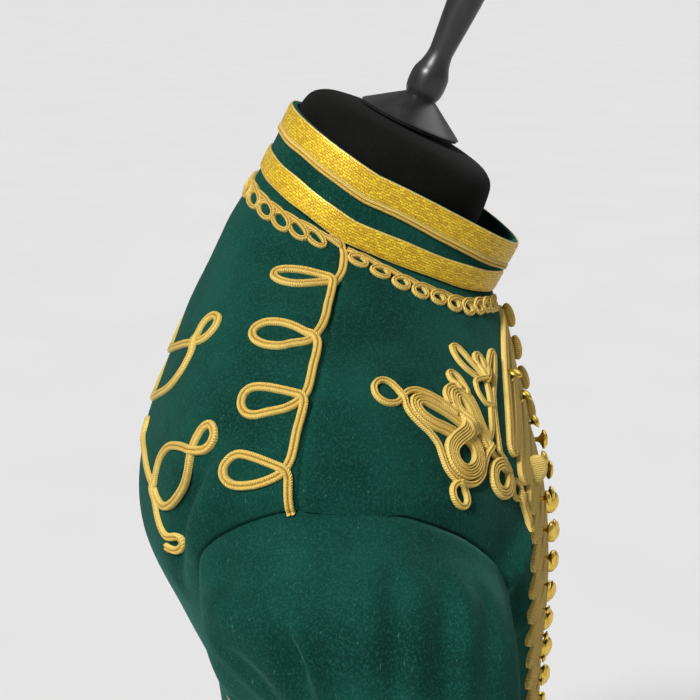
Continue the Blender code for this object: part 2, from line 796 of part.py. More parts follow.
class Cloth:
    """Finds points on the faceted outer side of the body panels."""

    def __init__(self, panels):
        self.trees = []
        for panel in panels:
            shape = bmesh.new()
            shape.from_mesh(panel.data)
            self.trees.append(BVHTree.FromBMesh(shape))
            shape.free()

    def height(self, spot, normal):
        """How far the cloth stands above a spot, measured along a normal. The left mirrors the right."""
        if spot[0] < 0.0:
            spot = spot * np.array((-1.0, 1.0, 1.0))
            normal = normal * np.array((-1.0, 1.0, 1.0))
        start = spot + normal * RAY_START
        start[0] = max(start[0], 0.4)
        origin = Vector((-start[0] * MM, -start[1] * MM, start[2] * MM))
        heading = Vector((normal[0], normal[1], -normal[2]))
        best = None
        for tree in self.trees:
            hit, _, _, distance = tree.ray_cast(origin, heading, 2.0 * RAY_START * MM)
            if hit is not None and (best is None or distance < best):
                best = distance
        return 0.0 if best is None else RAY_START - best / MM

    def seat(self, angle, ring):
        """The cloth's surface under a place of the body, with the outward normal there."""
        smooth = body_point(angle, ring)
        normal = body_normal(angle, ring)
        return smooth + normal * self.height(smooth, normal), normal


def solve_place(want, measure, guess):
    """Finds the angle and ring at which two measures of the body take the wanted values."""
    place = np.array(guess, dtype=float)
    for _ in range(25):
        error = np.array(want) - measure(place)
        if np.abs(error).max() < 0.01:
            break
        turn = (measure(place + np.array((0.3, 0.0))) - measure(place)) / 0.3
        down = (measure(place + np.array((0.0, 0.03))) - measure(place)) / 0.03
        move = np.linalg.solve(np.array((turn, down)).T, error)
        place += np.clip(move * 0.9, (-9.0, -0.7), (9.0, 0.7))
        place[1] = min(max(place[1], 0.0), RING_HEM)
    return tuple(place)


def elevation_places(line, guess):
    """Places of points given by their distance out and their height."""
    places = []
    for out, up in line:
        guess = solve_place((out, up), lambda place: body_point(*place)[[0, 2]], guess)
        places.append(guess)
    return places


class Patch:
    """A flat drafting frame that touches the body at one place, with a side and an up direction."""

    def __init__(self, angle, ring):
        self.guess = (angle, ring)
        self.origin = body_point(angle, ring)
        normal = body_normal(angle, ring)
        self.up = unit(np.array((0.0, 0.0, 1.0)) - normal * normal[2])
        side = np.cross(self.up, normal)
        self.side = side if side[1] > 0.0 else -side

    def measure(self, place):
        offset = body_point(*place) - self.origin
        return np.array((np.dot(offset, self.side), np.dot(offset, self.up)))

    def places(self, line):
        found = []
        guess = self.guess
        for stop in line:
            guess = solve_place(tuple(stop), self.measure, guess)
            found.append(guess)
        return found


def seam_places(line):
    """Places of points given by their distance along the shoulder seam and behind it."""
    rings = np.linspace(0.0, 6.2, 63)
    seam = [body_point(90.0, ring) for ring in rings]
    lengths = np.concatenate(([0.0], np.cumsum([np.linalg.norm(b - a) for a, b in zip(seam, seam[1:])])))
    places = []
    for along, behind in line:
        ring = float(np.interp(along, lengths, rings))
        angle = 90.0
        steps = 6
        for _ in range(steps):
            scale = np.linalg.norm(body_point(angle + 0.5, ring) - body_point(angle - 0.5, ring))
            angle += behind / steps / scale
        places.append((angle, ring))
    return places


def thin_out(points, normals, closed):
    """Keeps only the points that a line needs to stay within the chord error."""
    count = len(points)
    kept = [0]
    i = 0
    while i < count - 1:
        j = i + 1
        while j + 1 < count:
            chord = unit(points[j + 1] - points[i])
            worst = 0.0
            for k in range(i + 1, j + 1):
                offset = points[k] - points[i]
                worst = max(worst, np.linalg.norm(offset - chord * np.dot(offset, chord)))
            if worst > CHORD_ERROR or np.linalg.norm(points[j + 1] - points[i]) > LONGEST_SPAN:
                break
            j += 1
        kept.append(j)
        i = j
    if closed and np.linalg.norm(points[kept[-1]] - points[0]) < 1.5:
        kept.pop()
    return [points[k] for k in kept], [normals[k] for k in kept]


def strip_crosses(points, normals, closed):
    """The sideways vector of a strip at each station, longer where the strip turns."""
    count = len(points)
    crosses = []
    for i in range(count):
        if closed or 0 < i < count - 1:
            heading = unit(points[(i + 1) % count] - points[i]) + unit(points[i] - points[i - 1])
            bend = np.linalg.norm(heading) / 2.0
        else:
            heading = points[min(i + 1, count - 1)] - points[max(i - 1, 0)]
            bend = 1.0
        crosses.append(unit(np.cross(normals[i], unit(heading))) / max(bend, 0.8))
    return crosses


def strip_lifts(cloth, points, normals, crosses, reach, closed):
    """The height at which each station clears the facets of the cloth up to the next one."""
    count = len(points)
    lifts = [TRIM_GAP] * count
    for i in range(count if closed else count - 1):
        j = (i + 1) % count
        for part in (0.0, 0.2, 0.4, 0.6, 0.8, 1.0):
            normal = unit(normals[i] * (1.0 - part) + normals[j] * part)
            for offset in (-reach, -reach / 2.0, 0.0, reach / 2.0, reach):
                start = points[i] + crosses[i] * offset
                end = points[j] + crosses[j] * offset
                need = cloth.height(start * (1.0 - part) + end * part, normal) + TRIM_GAP
                lifts[i] = max(lifts[i], need)
                lifts[j] = max(lifts[j], need)
    return lifts


def strip_mesh(cloth, places, section, closed, raised=0.0):
    """Sweeps a section along places on the cloth and gives the closed solid's points and faces."""
    seats = [cloth.seat(angle, ring) for angle, ring in places]
    points, normals = thin_out([seat[0] for seat in seats], [seat[1] for seat in seats], closed)
    crosses = strip_crosses(points, normals, closed)
    reach = section.width / 2.0
    lifts = strip_lifts(cloth, points, normals, crosses, reach, closed)
    corners = []
    for point, normal, cross, lift in zip(points, normals, crosses, lifts):
        for offset, height in section.outline:
            rise = lift + raised + section.height * height
            corners.append(point + cross * (offset * reach) + normal * rise)
    count = len(points)
    sides = len(section.outline)
    faces = []
    for i in range(count if closed else count - 1):
        j = (i + 1) % count
        for k in range(sides):
            m = (k + 1) % sides
            faces.append((i * sides + k, i * sides + m, j * sides + m))
            faces.append((i * sides + k, j * sides + m, j * sides + k))
    if not closed:
        faces.append(tuple(range(sides)))
        faces.append(tuple((count - 1) * sides + k for k in reversed(range(sides))))
    return corners, faces


def join_solids(name, solids, finish, collection, side=None):
    """Unites overlapping solids into one closed body."""
    items = []
    for index, (points, faces) in enumerate(solids):
        items.append(add_mesh(name + "_" + str(index), points, faces, finish, collection, side))
    body = items[0]
    for tool in items[1:]:
        union = body.modifiers.new("union", "BOOLEAN")
        union.operation = "UNION"
        union.solver = "EXACT"
        union.use_self = True
        union.object = tool
        graph = bpy.context.evaluated_depsgraph_get()
        graph.update()
        mesh = bpy.data.meshes.new_from_object(body.evaluated_get(graph))
        body.modifiers.clear()
        body.data = mesh
        shape = bmesh.new()
        shape.from_mesh(mesh)
        bmesh.ops.triangulate(shape, faces=shape.faces)
        shape.to_mesh(mesh)
        shape.free()
        bpy.data.objects.remove(tool, do_unlink=True)
    shape = bmesh.new()
    shape.from_mesh(body.data)
    bmesh.ops.dissolve_limit(shape, angle_limit=math.radians(FLATTEN), verts=shape.verts, edges=shape.edges)
    bmesh.ops.triangulate(shape, faces=shape.faces)
    shape.to_mesh(body.data)
    shape.free()
    body.name = name
    body.data.name = name
    return body


def mirrored_solid(item, name, collection):
    """The same solid on the wearer's other side."""
    mesh = item.data.copy()
    mesh.name = name
    for corner in mesh.vertices:
        corner.co.x = -corner.co.x
    mesh.flip_normals()
    twin = bpy.data.objects.new(name, mesh)
    collection.objects.link(twin)
    return twin


def teardrop(base, tip, width):
    """Stops of a loop that is pointed at its base and round at its tip."""
    base = np.array(base)
    along = np.array(tip) - base
    across = np.array((-along[1], along[0])) / np.linalg.norm(along) * width / 2.0
    shape = ((0.0, 0.0), (0.35, -0.62), (0.68, -1.0), (0.9, -0.8), (1.0, 0.0), (0.9, 0.8), (0.68, 1.0), (0.35, 0.62))
    return [base + along * reach + across * spread for reach, spread in shape]


def oval(centre, half_long, half_short, tilt, count=12):
    turn = math.radians(tilt)
    stops = []
    for i in range(count):
        angle = 2.0 * math.pi * i / count
        x = half_long * math.cos(angle)
        y = half_short * math.sin(angle)
        stops.append(
            (centre[0] + x * math.cos(turn) - y * math.sin(turn), centre[1] + x * math.sin(turn) + y * math.cos(turn))
        )
    return stops


def build_shoulder_braids(cloth, collection, finish):
    solids = [strip_mesh(cloth, seam_places(smooth_line(SHOULDER_STRAND, False, 2.5)), BRAID, False)]
    for loop in SHOULDER_LOOPS:
        base = (loop.along, loop.behind - 1.0)
        tip = (loop.along + loop.drop, loop.behind + loop.reach)
        line = smooth_line(teardrop(base, tip, loop.width), True, 2.5)
        solids.append(strip_mesh(cloth, seam_places(line), BRAID, True, 0.25))
    for name, side in (("shoulder_braid_right", RIGHT), ("shoulder_braid_left", LEFT)):
        join_solids(name, solids, finish, collection, side)


def neck_places(line):
    """Places of points given by their angle round the neck and their distance below its seam."""
    places = []
    for angle, drop in line:
        scale = np.linalg.norm(body_point(angle, 0.6) - body_point(angle, 0.0)) / 0.6
        places.append((angle, drop / scale))
    return places


def neck_eye(cloth, eye, half_step, index):
    """One ring-shaped eye, wide enough to overlap the next."""
    line = []
    for i in range(EYE_SIDES):
        turn = 2.0 * math.pi * i / EYE_SIDES
        line.append((eye.angle + half_step * math.cos(turn), eye.drop + EYE_RADIUS * math.sin(turn)))
    return strip_mesh(cloth, neck_places(line), CORD, True, 0.2 * (index % 2))


def build_collar_eyes(cloth, collection, finish):
    first = 180.0 - BACK_EYE_STEP * (BACK_EYES - 1) / 2.0
    back = [NeckEye(first + BACK_EYE_STEP * i, BACK_EYE_DROP) for i in range(BACK_EYES)]
    solids = [neck_eye(cloth, eye, BACK_EYE_STEP * 0.47, index) for index, eye in enumerate(back)]
    join_solids("collar_eyes_back", solids, finish, collection)
    half_step = (FRONT_EYES[0].angle - FRONT_EYES[-1].angle) / (len(FRONT_EYES) - 1) * 0.47
    solids = [neck_eye(cloth, eye, half_step, index) for index, eye in enumerate(FRONT_EYES)]
    for name, side in (("collar_eyes_right", RIGHT), ("collar_eyes_left", LEFT)):
        join_solids(name, solids, finish, collection, side)


def build_back_figures(cloth, collection, finish):
    right = elevation_places(smooth_line(UPPER_BACK_HALF, False, 4.0), (178.0, 5.8))
    left = [(360.0 - angle, ring) for angle, ring in reversed(right)]
    solids = [strip_mesh(cloth, right + left, BRAID, True)]
    base, tip = UPPER_BACK_LOOP
    loop = elevation_places(smooth_line(teardrop(base, tip, BACK_LOOP_WIDTH), True, 5.5), (135.0, 4.0))
    mirrored = [(360.0 - angle, ring) for angle, ring in reversed(loop)]
    solids.append(strip_mesh(cloth, loop, BRAID, True, 0.37))
    solids.append(strip_mesh(cloth, mirrored, BRAID, True, 0.37))
    join_solids("back_figure_upper", solids, finish, collection)
    inward = elevation_places(smooth_line(LOWER_BACK_IN, False, 3.0), (165.0, 6.9))
    outward = elevation_places(smooth_line(LOWER_BACK_OUT, False, 3.0), (118.0, 5.5))
    solids = [strip_mesh(cloth, inward, BRAID, False), strip_mesh(cloth, outward, BRAID, False, 0.3)]
    for centre, guess in zip(LOWER_BACK_EYES, ((165.0, 6.9), (138.0, 7.7))):
        eye = elevation_places(oval(centre, BACK_EYE_LONG, BACK_EYE_SHORT, 0.0, EYE_SIDES), guess)
        solids.append(strip_mesh(cloth, eye, CORD, True, 0.5))
    for name, side in (("back_figure_lower_right", RIGHT), ("back_figure_lower_left", LEFT)):
        join_solids(name, solids, finish, collection, side)


def build_rear_seams(cloth, collection, finish):
    top, bottom = REAR_SEAM_RINGS
    places = [(REAR_SEAM_ANGLE, ring) for ring in np.linspace(top, bottom, REAR_SEAM_STEPS)]
    points, faces = strip_mesh(cloth, places, BRAID, False)
    add_mesh("rear_seam_braid_right", points, faces, finish, collection, RIGHT)
    add_mesh("rear_seam_braid_left", points, faces, finish, collection, LEFT)


def knot_solids(cloth, patch, ovals):
    solids = []
    for index, item in enumerate(ovals):
        sides = EYE_SIDES if item.section is CORD else 9
        line = oval((item.across, item.up), item.half_long, item.half_short, item.tilt, sides)
        solids.append(strip_mesh(cloth, patch.places(line), item.section, True, 0.23 * index))
    return solids


def build_chest_knots(cloth, collection, finish):
    outer = knot_solids(cloth, Patch(*OUTER_KNOT_PLACE), OUTER_KNOT)
    patch = Patch(*INNER_KNOT_PLACE)
    inner = knot_solids(cloth, patch, INNER_KNOT)
    inner.append(strip_mesh(cloth, patch.places(smooth_line(INNER_KNOT_STEM, False, 3.0)), BRAID, False, 0.1))
    inner.append(strip_mesh(cloth, patch.places(smooth_line(INNER_KNOT_TAIL, False, 4.0)), ROPES, False, 0.15))
    for index, (base, tip) in enumerate(INNER_KNOT_LOOPS):
        line = smooth_line(teardrop(base, tip, KNOT_LOOP_WIDTH), True, 4.0)
        inner.append(strip_mesh(cloth, patch.places(line), CORD, True, 0.31 * index + 0.3))
    for name, solids in (("chest_knot_outer_", outer), ("chest_knot_inner_", inner)):
        left = join_solids(name + "left", solids, finish, collection, LEFT)
        mirrored_solid(left, name + "right", collection)


def turned_trim(origin, axis, side, profile):
    """A small turned shape as points and faces, about an axis through an origin."""
    other = np.cross(axis, side)
    points = []
    for spot in profile:
        for k in range(BUTTON_SIDES):
            turn = 2.0 * math.pi * (k + 0.5) / BUTTON_SIDES
            spoke = side * math.cos(turn) + other * math.sin(turn)
            points.append(origin + axis * spot.height + spoke * spot.radius)
    faces = []
    for i in range(len(profile) - 1):
        for k in range(BUTTON_SIDES):
            m = (k + 1) % BUTTON_SIDES
            low = i * BUTTON_SIDES
            high = low + BUTTON_SIDES
            faces.append((low + k, low + m, high + m, high + k))
    faces.append(tuple(reversed(range(BUTTON_SIDES))))
    tail = (len(profile) - 1) * BUTTON_SIDES
    faces.append(tuple(tail + k for k in range(BUTTON_SIDES)))
    return points, faces


def button_spots(index, end):
    """How far out the buttons of a row stand, with the centre first."""
    shares = (INNER_BUTTONS, OUTER_BUTTONS) if index >= OUTER_BUTTON_ROW else (INNER_BUTTONS,)
    return [0.0] + [side * share * end for share in shares for side in (1.0, -1.0)]


def build_rows(cloth, collection, finish):
    flip = np.array((-1.0, 1.0, 1.0))
    upright = np.array((0.0, 0.0, 1.0))
    for index, row in enumerate(ROWS):
        centre_up = ROW_TOP - ROW_PITCH * index
        outs = np.linspace(0.7, row.end, ROW_STATIONS)
        line = [(out, centre_up - row.droop * (out / row.end) ** ROW_BEND) for out in outs]
        ring = float(np.interp(-centre_up, [-r.front_up for r in BODY_RINGS], range(len(BODY_RINGS))))
        half = elevation_places(line, (1.0, ring))
        mirrored = [(-angle, place) for angle, place in reversed(half)]
        solids = [strip_mesh(cloth, mirrored + half, BAND, False)]
        for spot in button_spots(index, row.end):
            nearest = int(np.argmin(np.abs(outs - abs(spot))))
            seat, normal = cloth.seat(*(half[nearest] if spot else (0.0, half[0][1])))
            if spot < 0.0:
                seat, normal = seat * flip, normal * flip
            across = unit(np.cross(normal, upright))
            if spot == 0.0 and index < OLIVET_ROWS:
                upward = np.cross(across, normal)
                solids.append(turned_trim(seat + normal * OLIVET_HEIGHT, upward, normal, OLIVET_PROFILE))
            else:
                solids.append(turned_trim(seat, normal, across, BUTTON_PROFILE))
        join_solids("front_row_%02d" % (index + 1), solids, finish, collection)


def main():
    clear_scene()
    collection = bpy.data.collections.new(COLLECTION_NAME)
    bpy.context.scene.collection.children.link(collection)
    wool = material("green_wool", GREEN, 0.9, 0.0)
    lace = material("gold_lace", LACE_GOLD, 0.4, 0.8)
    braid = material("gold_braid", GOLD, 0.6, 0.3)
    jersey = material("black_jersey", JERSEY, 0.9, 0.0)
    wood = material("black_wood", BLACK_WOOD, 0.35, 0.0)
    front = build_fronts(collection, wool)
    back = build_back(collection, wool)
    build_sleeves(collection, wool)
    build_collar(collection, wool, lace, braid)
    build_form_torso(collection, jersey)
    turned_solid("form_neck_cap", CAP_PROFILE, CAP_SIDES, CAP_LEAN, jersey, collection)
    turned_solid("form_finial", FINIAL_PROFILE, FINIAL_SIDES, FINIAL_LEAN, wood, collection)
    cloth = Cloth((front, back))
    build_shoulder_braids(cloth, collection, braid)
    build_collar_eyes(cloth, collection, braid)
    build_back_figures(cloth, collection, braid)
    build_rear_seams(cloth, collection, braid)
    build_chest_knots(cloth, collection, braid)
    build_rows(cloth, collection, braid)


main()
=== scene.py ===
# A hussar jacket on a black dress form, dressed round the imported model.
# The wearer's frame is (out to the right, forward, up) in millimetres. Forward is the row's -Y.

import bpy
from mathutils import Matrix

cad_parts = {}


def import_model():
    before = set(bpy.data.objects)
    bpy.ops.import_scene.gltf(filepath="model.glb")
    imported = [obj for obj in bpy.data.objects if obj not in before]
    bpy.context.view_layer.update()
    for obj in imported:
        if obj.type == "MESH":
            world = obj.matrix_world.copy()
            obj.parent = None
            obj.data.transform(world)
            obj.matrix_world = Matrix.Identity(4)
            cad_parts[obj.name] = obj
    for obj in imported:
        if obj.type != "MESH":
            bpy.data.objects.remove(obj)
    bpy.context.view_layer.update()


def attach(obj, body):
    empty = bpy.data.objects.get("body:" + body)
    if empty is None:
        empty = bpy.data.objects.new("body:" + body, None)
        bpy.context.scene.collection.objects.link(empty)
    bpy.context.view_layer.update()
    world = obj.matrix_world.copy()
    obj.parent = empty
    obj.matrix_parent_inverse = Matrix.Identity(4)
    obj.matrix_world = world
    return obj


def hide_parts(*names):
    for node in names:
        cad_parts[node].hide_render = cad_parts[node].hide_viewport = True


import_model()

import math
from collections import namedtuple

import bmesh
import bpy
import numpy as np
from mathutils import Vector
from mathutils.bvhtree import BVHTree

MM = 0.001
TINY = 1e-9
ON_RIGHT = 1.0
ON_LEFT = -1.0
MIRROR = np.array((-1.0, 1.0, 1.0))
UPRIGHT = np.array((0.0, 0.0, 1.0))


def table(kind, rows):
    return [kind(*row) for row in rows]


# Driving sizes, in millimetres
CLOTH = 2.2
SEAM = 0.3
LACE_WIDTH = 13.0
LACE_THICK = 1.2
COLLAR_THICK = 2.6
COLLAR_BACK = 40.5
COLLAR_FRONT = 31.0
COLLAR_SLOPE = 1.6
COLLAR_OPEN = 0.7
LACE_FOOT = 0.8
LINE_WIDTH = 3.3
LINE_THICK = 1.5
COLLAR_LEAN = 27.0

# Rings of the body, from the neckline down to the hem, in millimetres.
# Forward is away from the wearer's back, and up is above the ground.
Ring = namedtuple(
    "Ring",
    "front_fwd front_up back_fwd back_up half_width side_fwd side_up front_power back_power",
)
BODY_RINGS = (
    Ring(80.8, 676.4, -50.0, 745.0, 64.0, -3.0, 714.0, 2.2, 2.1),
    Ring(87.5, 657.0, -66.0, 721.0, 86.5, -6.0, 697.5, 2.2, 2.1),
    Ring(91.0, 643.6, -73.5, 706.6, 113.5, -9.0, 684.0, 2.2, 2.1),
    Ring(93.5, 631.2, -81.5, 690.0, 142.5, -13.0, 668.9, 2.2, 2.15),
    Ring(98.0, 615.5, -92.0, 669.4, 165.5, -19.0, 650.5, 2.2, 2.2),
    Ring(101.5, 599.4, -100.0, 648.7, 181.5, -22.5, 631.5, 2.25, 2.25),
    Ring(105.5, 585.4, -107.5, 628.9, 188.5, -23.5, 613.5, 2.3, 2.3),
    Ring(109.5, 566.9, -117.5, 599.5, 185.5, -15.0, 586.5, 2.3, 2.3),
    Ring(112.5, 541.2, -120.5, 558.2, 177.5, -8.0, 551.5, 2.3, 2.2),
    Ring(113.5, 507.5, -103.5, 512.3, 166.5, -3.0, 511.5, 2.3, 2.05),
    Ring(111.5, 470.0, -85.0, 471.0, 159.5, 0.0, 471.5, 2.3, 2.0),
    Ring(110.5, 430.0, -78.0, 431.0, 153.5, 3.0, 431.5, 2.3, 2.0),
    Ring(102.0, 378.0, -72.0, 380.0, 145.5, 6.0, 381.5, 2.3, 2.1),
    Ring(94.0, 327.0, -70.0, 331.0, 141.5, 8.0, 331.5, 2.3, 2.2),
    Ring(96.0, 264.0, -80.0, 276.0, 149.5, 8.0, 278.5, 2.3, 2.2),
)
RING_HEM = float(len(BODY_RINGS) - 1)

# Side edges of the panels: the angle round the body, the ring at the edge, and the ring that the
# same row of the wall meets at the centre line.
Edge = namedtuple("Edge", "angle ring centre_ring")
SHOULDER_EDGE = (
    Edge(90.0, 0.0, 0.0),
    Edge(90.0, 1.0, 0.9),
    Edge(90.0, 2.0, 1.8),
    Edge(90.0, 3.0, 2.7),
    Edge(90.0, 4.0, 3.5),
    Edge(90.0, 5.0, 4.2),
)
FRONT_ARMHOLE = (
    Edge(90.0, 6.06, 4.9),
    Edge(84.0, 5.93, 5.15),
    Edge(78.0, 5.83, 5.35),
    Edge(71.5, 5.82, 5.6),
    Edge(65.5, 6.00, 5.9),
    Edge(60.5, 6.23, 6.15),
    Edge(56.5, 6.48, 6.4),
    Edge(53.2, 6.80, 6.75),
    Edge(50.0, 7.22, 7.25),
    Edge(48.5, 8.00, 7.95),
    Edge(51.0, 8.70, 8.6),
    Edge(59.0, 9.30, 9.2),
    Edge(73.0, 9.80, 9.7),
    Edge(90.0, 10.0, 10.1),
)
BACK_ARMHOLE = (
    Edge(90.0, 6.06, 5.3),
    Edge(96.0, 6.24, 5.7),
    Edge(103.0, 6.50, 6.1),
    Edge(110.0, 6.80, 6.5),
    Edge(116.0, 7.12, 6.95),
    Edge(120.0, 7.43, 7.4),
    Edge(122.0, 7.90, 7.9),
    Edge(123.5, 8.35, 8.35),
    Edge(122.5, 8.80, 8.8),
    Edge(116.0, 9.30, 9.3),
    Edge(105.0, 9.75, 9.75),
    Edge(90.0, 10.0, 10.1),
)
SIDE_EDGE = (
    Edge(90.0, 10.9, 10.9),
    Edge(90.0, 11.8, 11.8),
    Edge(90.0, 12.6, 12.6),
    Edge(90.0, 13.3, 13.3),
    Edge(90.0, 14.0, 14.0),
)
FRONT_COLUMNS = 8
BACK_COLUMNS = 7

# Rings of a sleeve, from its head to the cuff: the centre, the half depth fore and aft, the half
# width, and how far the outer side, the inner side and the front stand above the centre.
SleeveRing = namedtuple(
    "SleeveRing",
    "out fwd up half_depth half_width outer_rise inner_drop front_rise",
)
SLEEVE_RINGS = (
    SleeveRing(197.0, 6.0, 548.0, 72.0, 34.0, 38.0, 79.0, 2.0),
    SleeveRing(205.0, 25.5, 507.0, 55.5, 41.0, 28.0, 50.0, 2.0),
    SleeveRing(209.0, 30.0, 462.0, 53.0, 44.0, 16.0, 28.0, 4.0),
    SleeveRing(210.0, 32.0, 415.0, 51.0, 43.0, 8.0, 12.0, 2.0),
    SleeveRing(212.0, 27.0, 310.0, 49.0, 41.0, 2.0, 2.0, -4.0),
    SleeveRing(213.0, 36.0, 205.0, 43.0, 37.0, 0.0, 0.0, -2.0),
    SleeveRing(208.0, 68.0, 46.0, 34.0, 30.0, 0.0, 0.0, 6.0),
)
TOP_SLEEVE_FRONT = 9
TOP_SLEEVE_BACK = 8

# Rings of the dress form below the cloth, in the body's own columns
FORM_CLEAR = 7.0
FORM_RINGS = (
    Ring(112.0, 200.0, -104.0, 200.0, 150.0, 2.0, 200.0, 2.3, 2.3),
    Ring(116.0, 130.0, -116.0, 130.0, 154.0, 0.0, 130.0, 2.3, 2.3),
    Ring(114.0, 60.0, -116.0, 60.0, 152.0, 0.0, 60.0, 2.3, 2.3),
    Ring(108.0, 4.0, -110.0, 4.0, 146.0, 0.0, 4.0, 2.3, 2.3),
    Ring(104.0, 0.0, -106.0, 0.0, 142.0, 0.0, 0.0, 2.3, 2.3),
)
FORM_BODY_PLACES = (0.9, 2.5, 4.0, 6.0, 8.0, 10.0, 12.0, 14.0)
FORM_DROP_PLACE = 8.0
FORM_DROP_SPAN = 6.0

# Neck cap and finial, turned about axes that lean forward
CAP_TOP = (0.0, 32.4, 769.2)
CAP_LEAN = 26.5
FINIAL_LEAN = 24.3
NeckPoint = namedtuple("NeckPoint", "radius height")
CAP_PROFILE = table(NeckPoint, (
    (0.0, 0.0), (31.0, -0.4), (46.0, -2.4), (52.8, -5.2), (56.8, -9.5), (58.7, -17.0), (59.6, -28.0),
    (58.5, -40.0), (54.0, -50.0), (0.0, -50.0),
))
FINIAL_PROFILE = table(NeckPoint, (
    (0.0, 138.0), (6.0, 136.0), (9.5, 129.0), (10.8, 100.0), (9.2, 71.0), (7.2, 49.0), (6.9, 42.0),
    (8.2, 36.0), (10.2, 31.0), (10.7, 26.0), (10.3, 20.5), (8.9, 16.8), (27.8, 4.4), (29.3, 3.0),
    (28.6, 1.4), (0.0, 1.4),
))
TORSO_NECK = (NeckPoint(46.0, 0.0), NeckPoint(50.0, -1.5))

# Row of eyes under the collar: the angle round the neck of each eye and its distance below the seam
NeckEye = namedtuple("NeckEye", "angle drop")

# Braid down each rear seam, as an angle round the body and two rings
REAR_SEAM_ANGLE = 139.0
REAR_SEAM_RINGS = (9.45, 13.93)
REAR_SEAM_POINTS = 191
OUTER_KNOT_PLACE = (56.0, 3.9)
INNER_KNOT_PLACE = (40.0, 4.0)

# Rows of braid across the front: how far each runs out and how far its end drops
Row = namedtuple("Row", "end droop")
ROW_TOP = 658.0
ROW_PITCH = 18.7
ROWS = table(Row, (
    (101.0, 50.0), (101.0, 47.0), (102.0, 44.0), (103.0, 41.0), (104.0, 38.0), (105.0, 34.0), (104.0, 30.0),
    (101.0, 26.0), (97.0, 22.0), (93.0, 18.0), (88.0, 14.0), (84.0, 10.0), (80.0, 7.0), (76.0, 4.0),
    (73.0, 2.0), (71.0, 1.0), (70.0, 0.0), (70.0, 0.0), (72.0, 0.0),
))
ROW_BEND = 1.35
ROW_WIDTH = 11.5
ROW_START = 0.7
OLIVET_ROWS = 4
OUTER_BUTTONS = 0.74
OUTER_BUTTON_ROW = 2
OLIVET_HEIGHT = 4.8

# Finer grids for what is seen, and the angles beyond which an edge stays sharp
CLOTH_SHARP = 60.0
TURNED_SHARP = 50.0
CORD_SHARP = 80.0
PANEL_STEPS = 5
COLUMN_STEPS = 8
SLEEVE_TURN_STEPS = 5
SLEEVE_HEAD_ROWS = 22
SLEEVE_ARM_ROWS = 10
SLEEVE_LOW_ROWS = 7
EDGE_GRADE = 1.5
WALL = 2.0
COLLAR_STEPS = (24, 200, 0.2)
LACE_STEPS = (12, 260, 0.5)
LINE_STEPS = (16, 260, 0.5)
LACE_PUFF = 2.5
LINE_PUFF = 0.38
LACE_GAP = 0.1
LINE_GAP = 0.15
FORM_COLUMNS = 72
FORM_STEPS = 6
TURNED_SIDES = 64
CORNER_TURN = 50.0

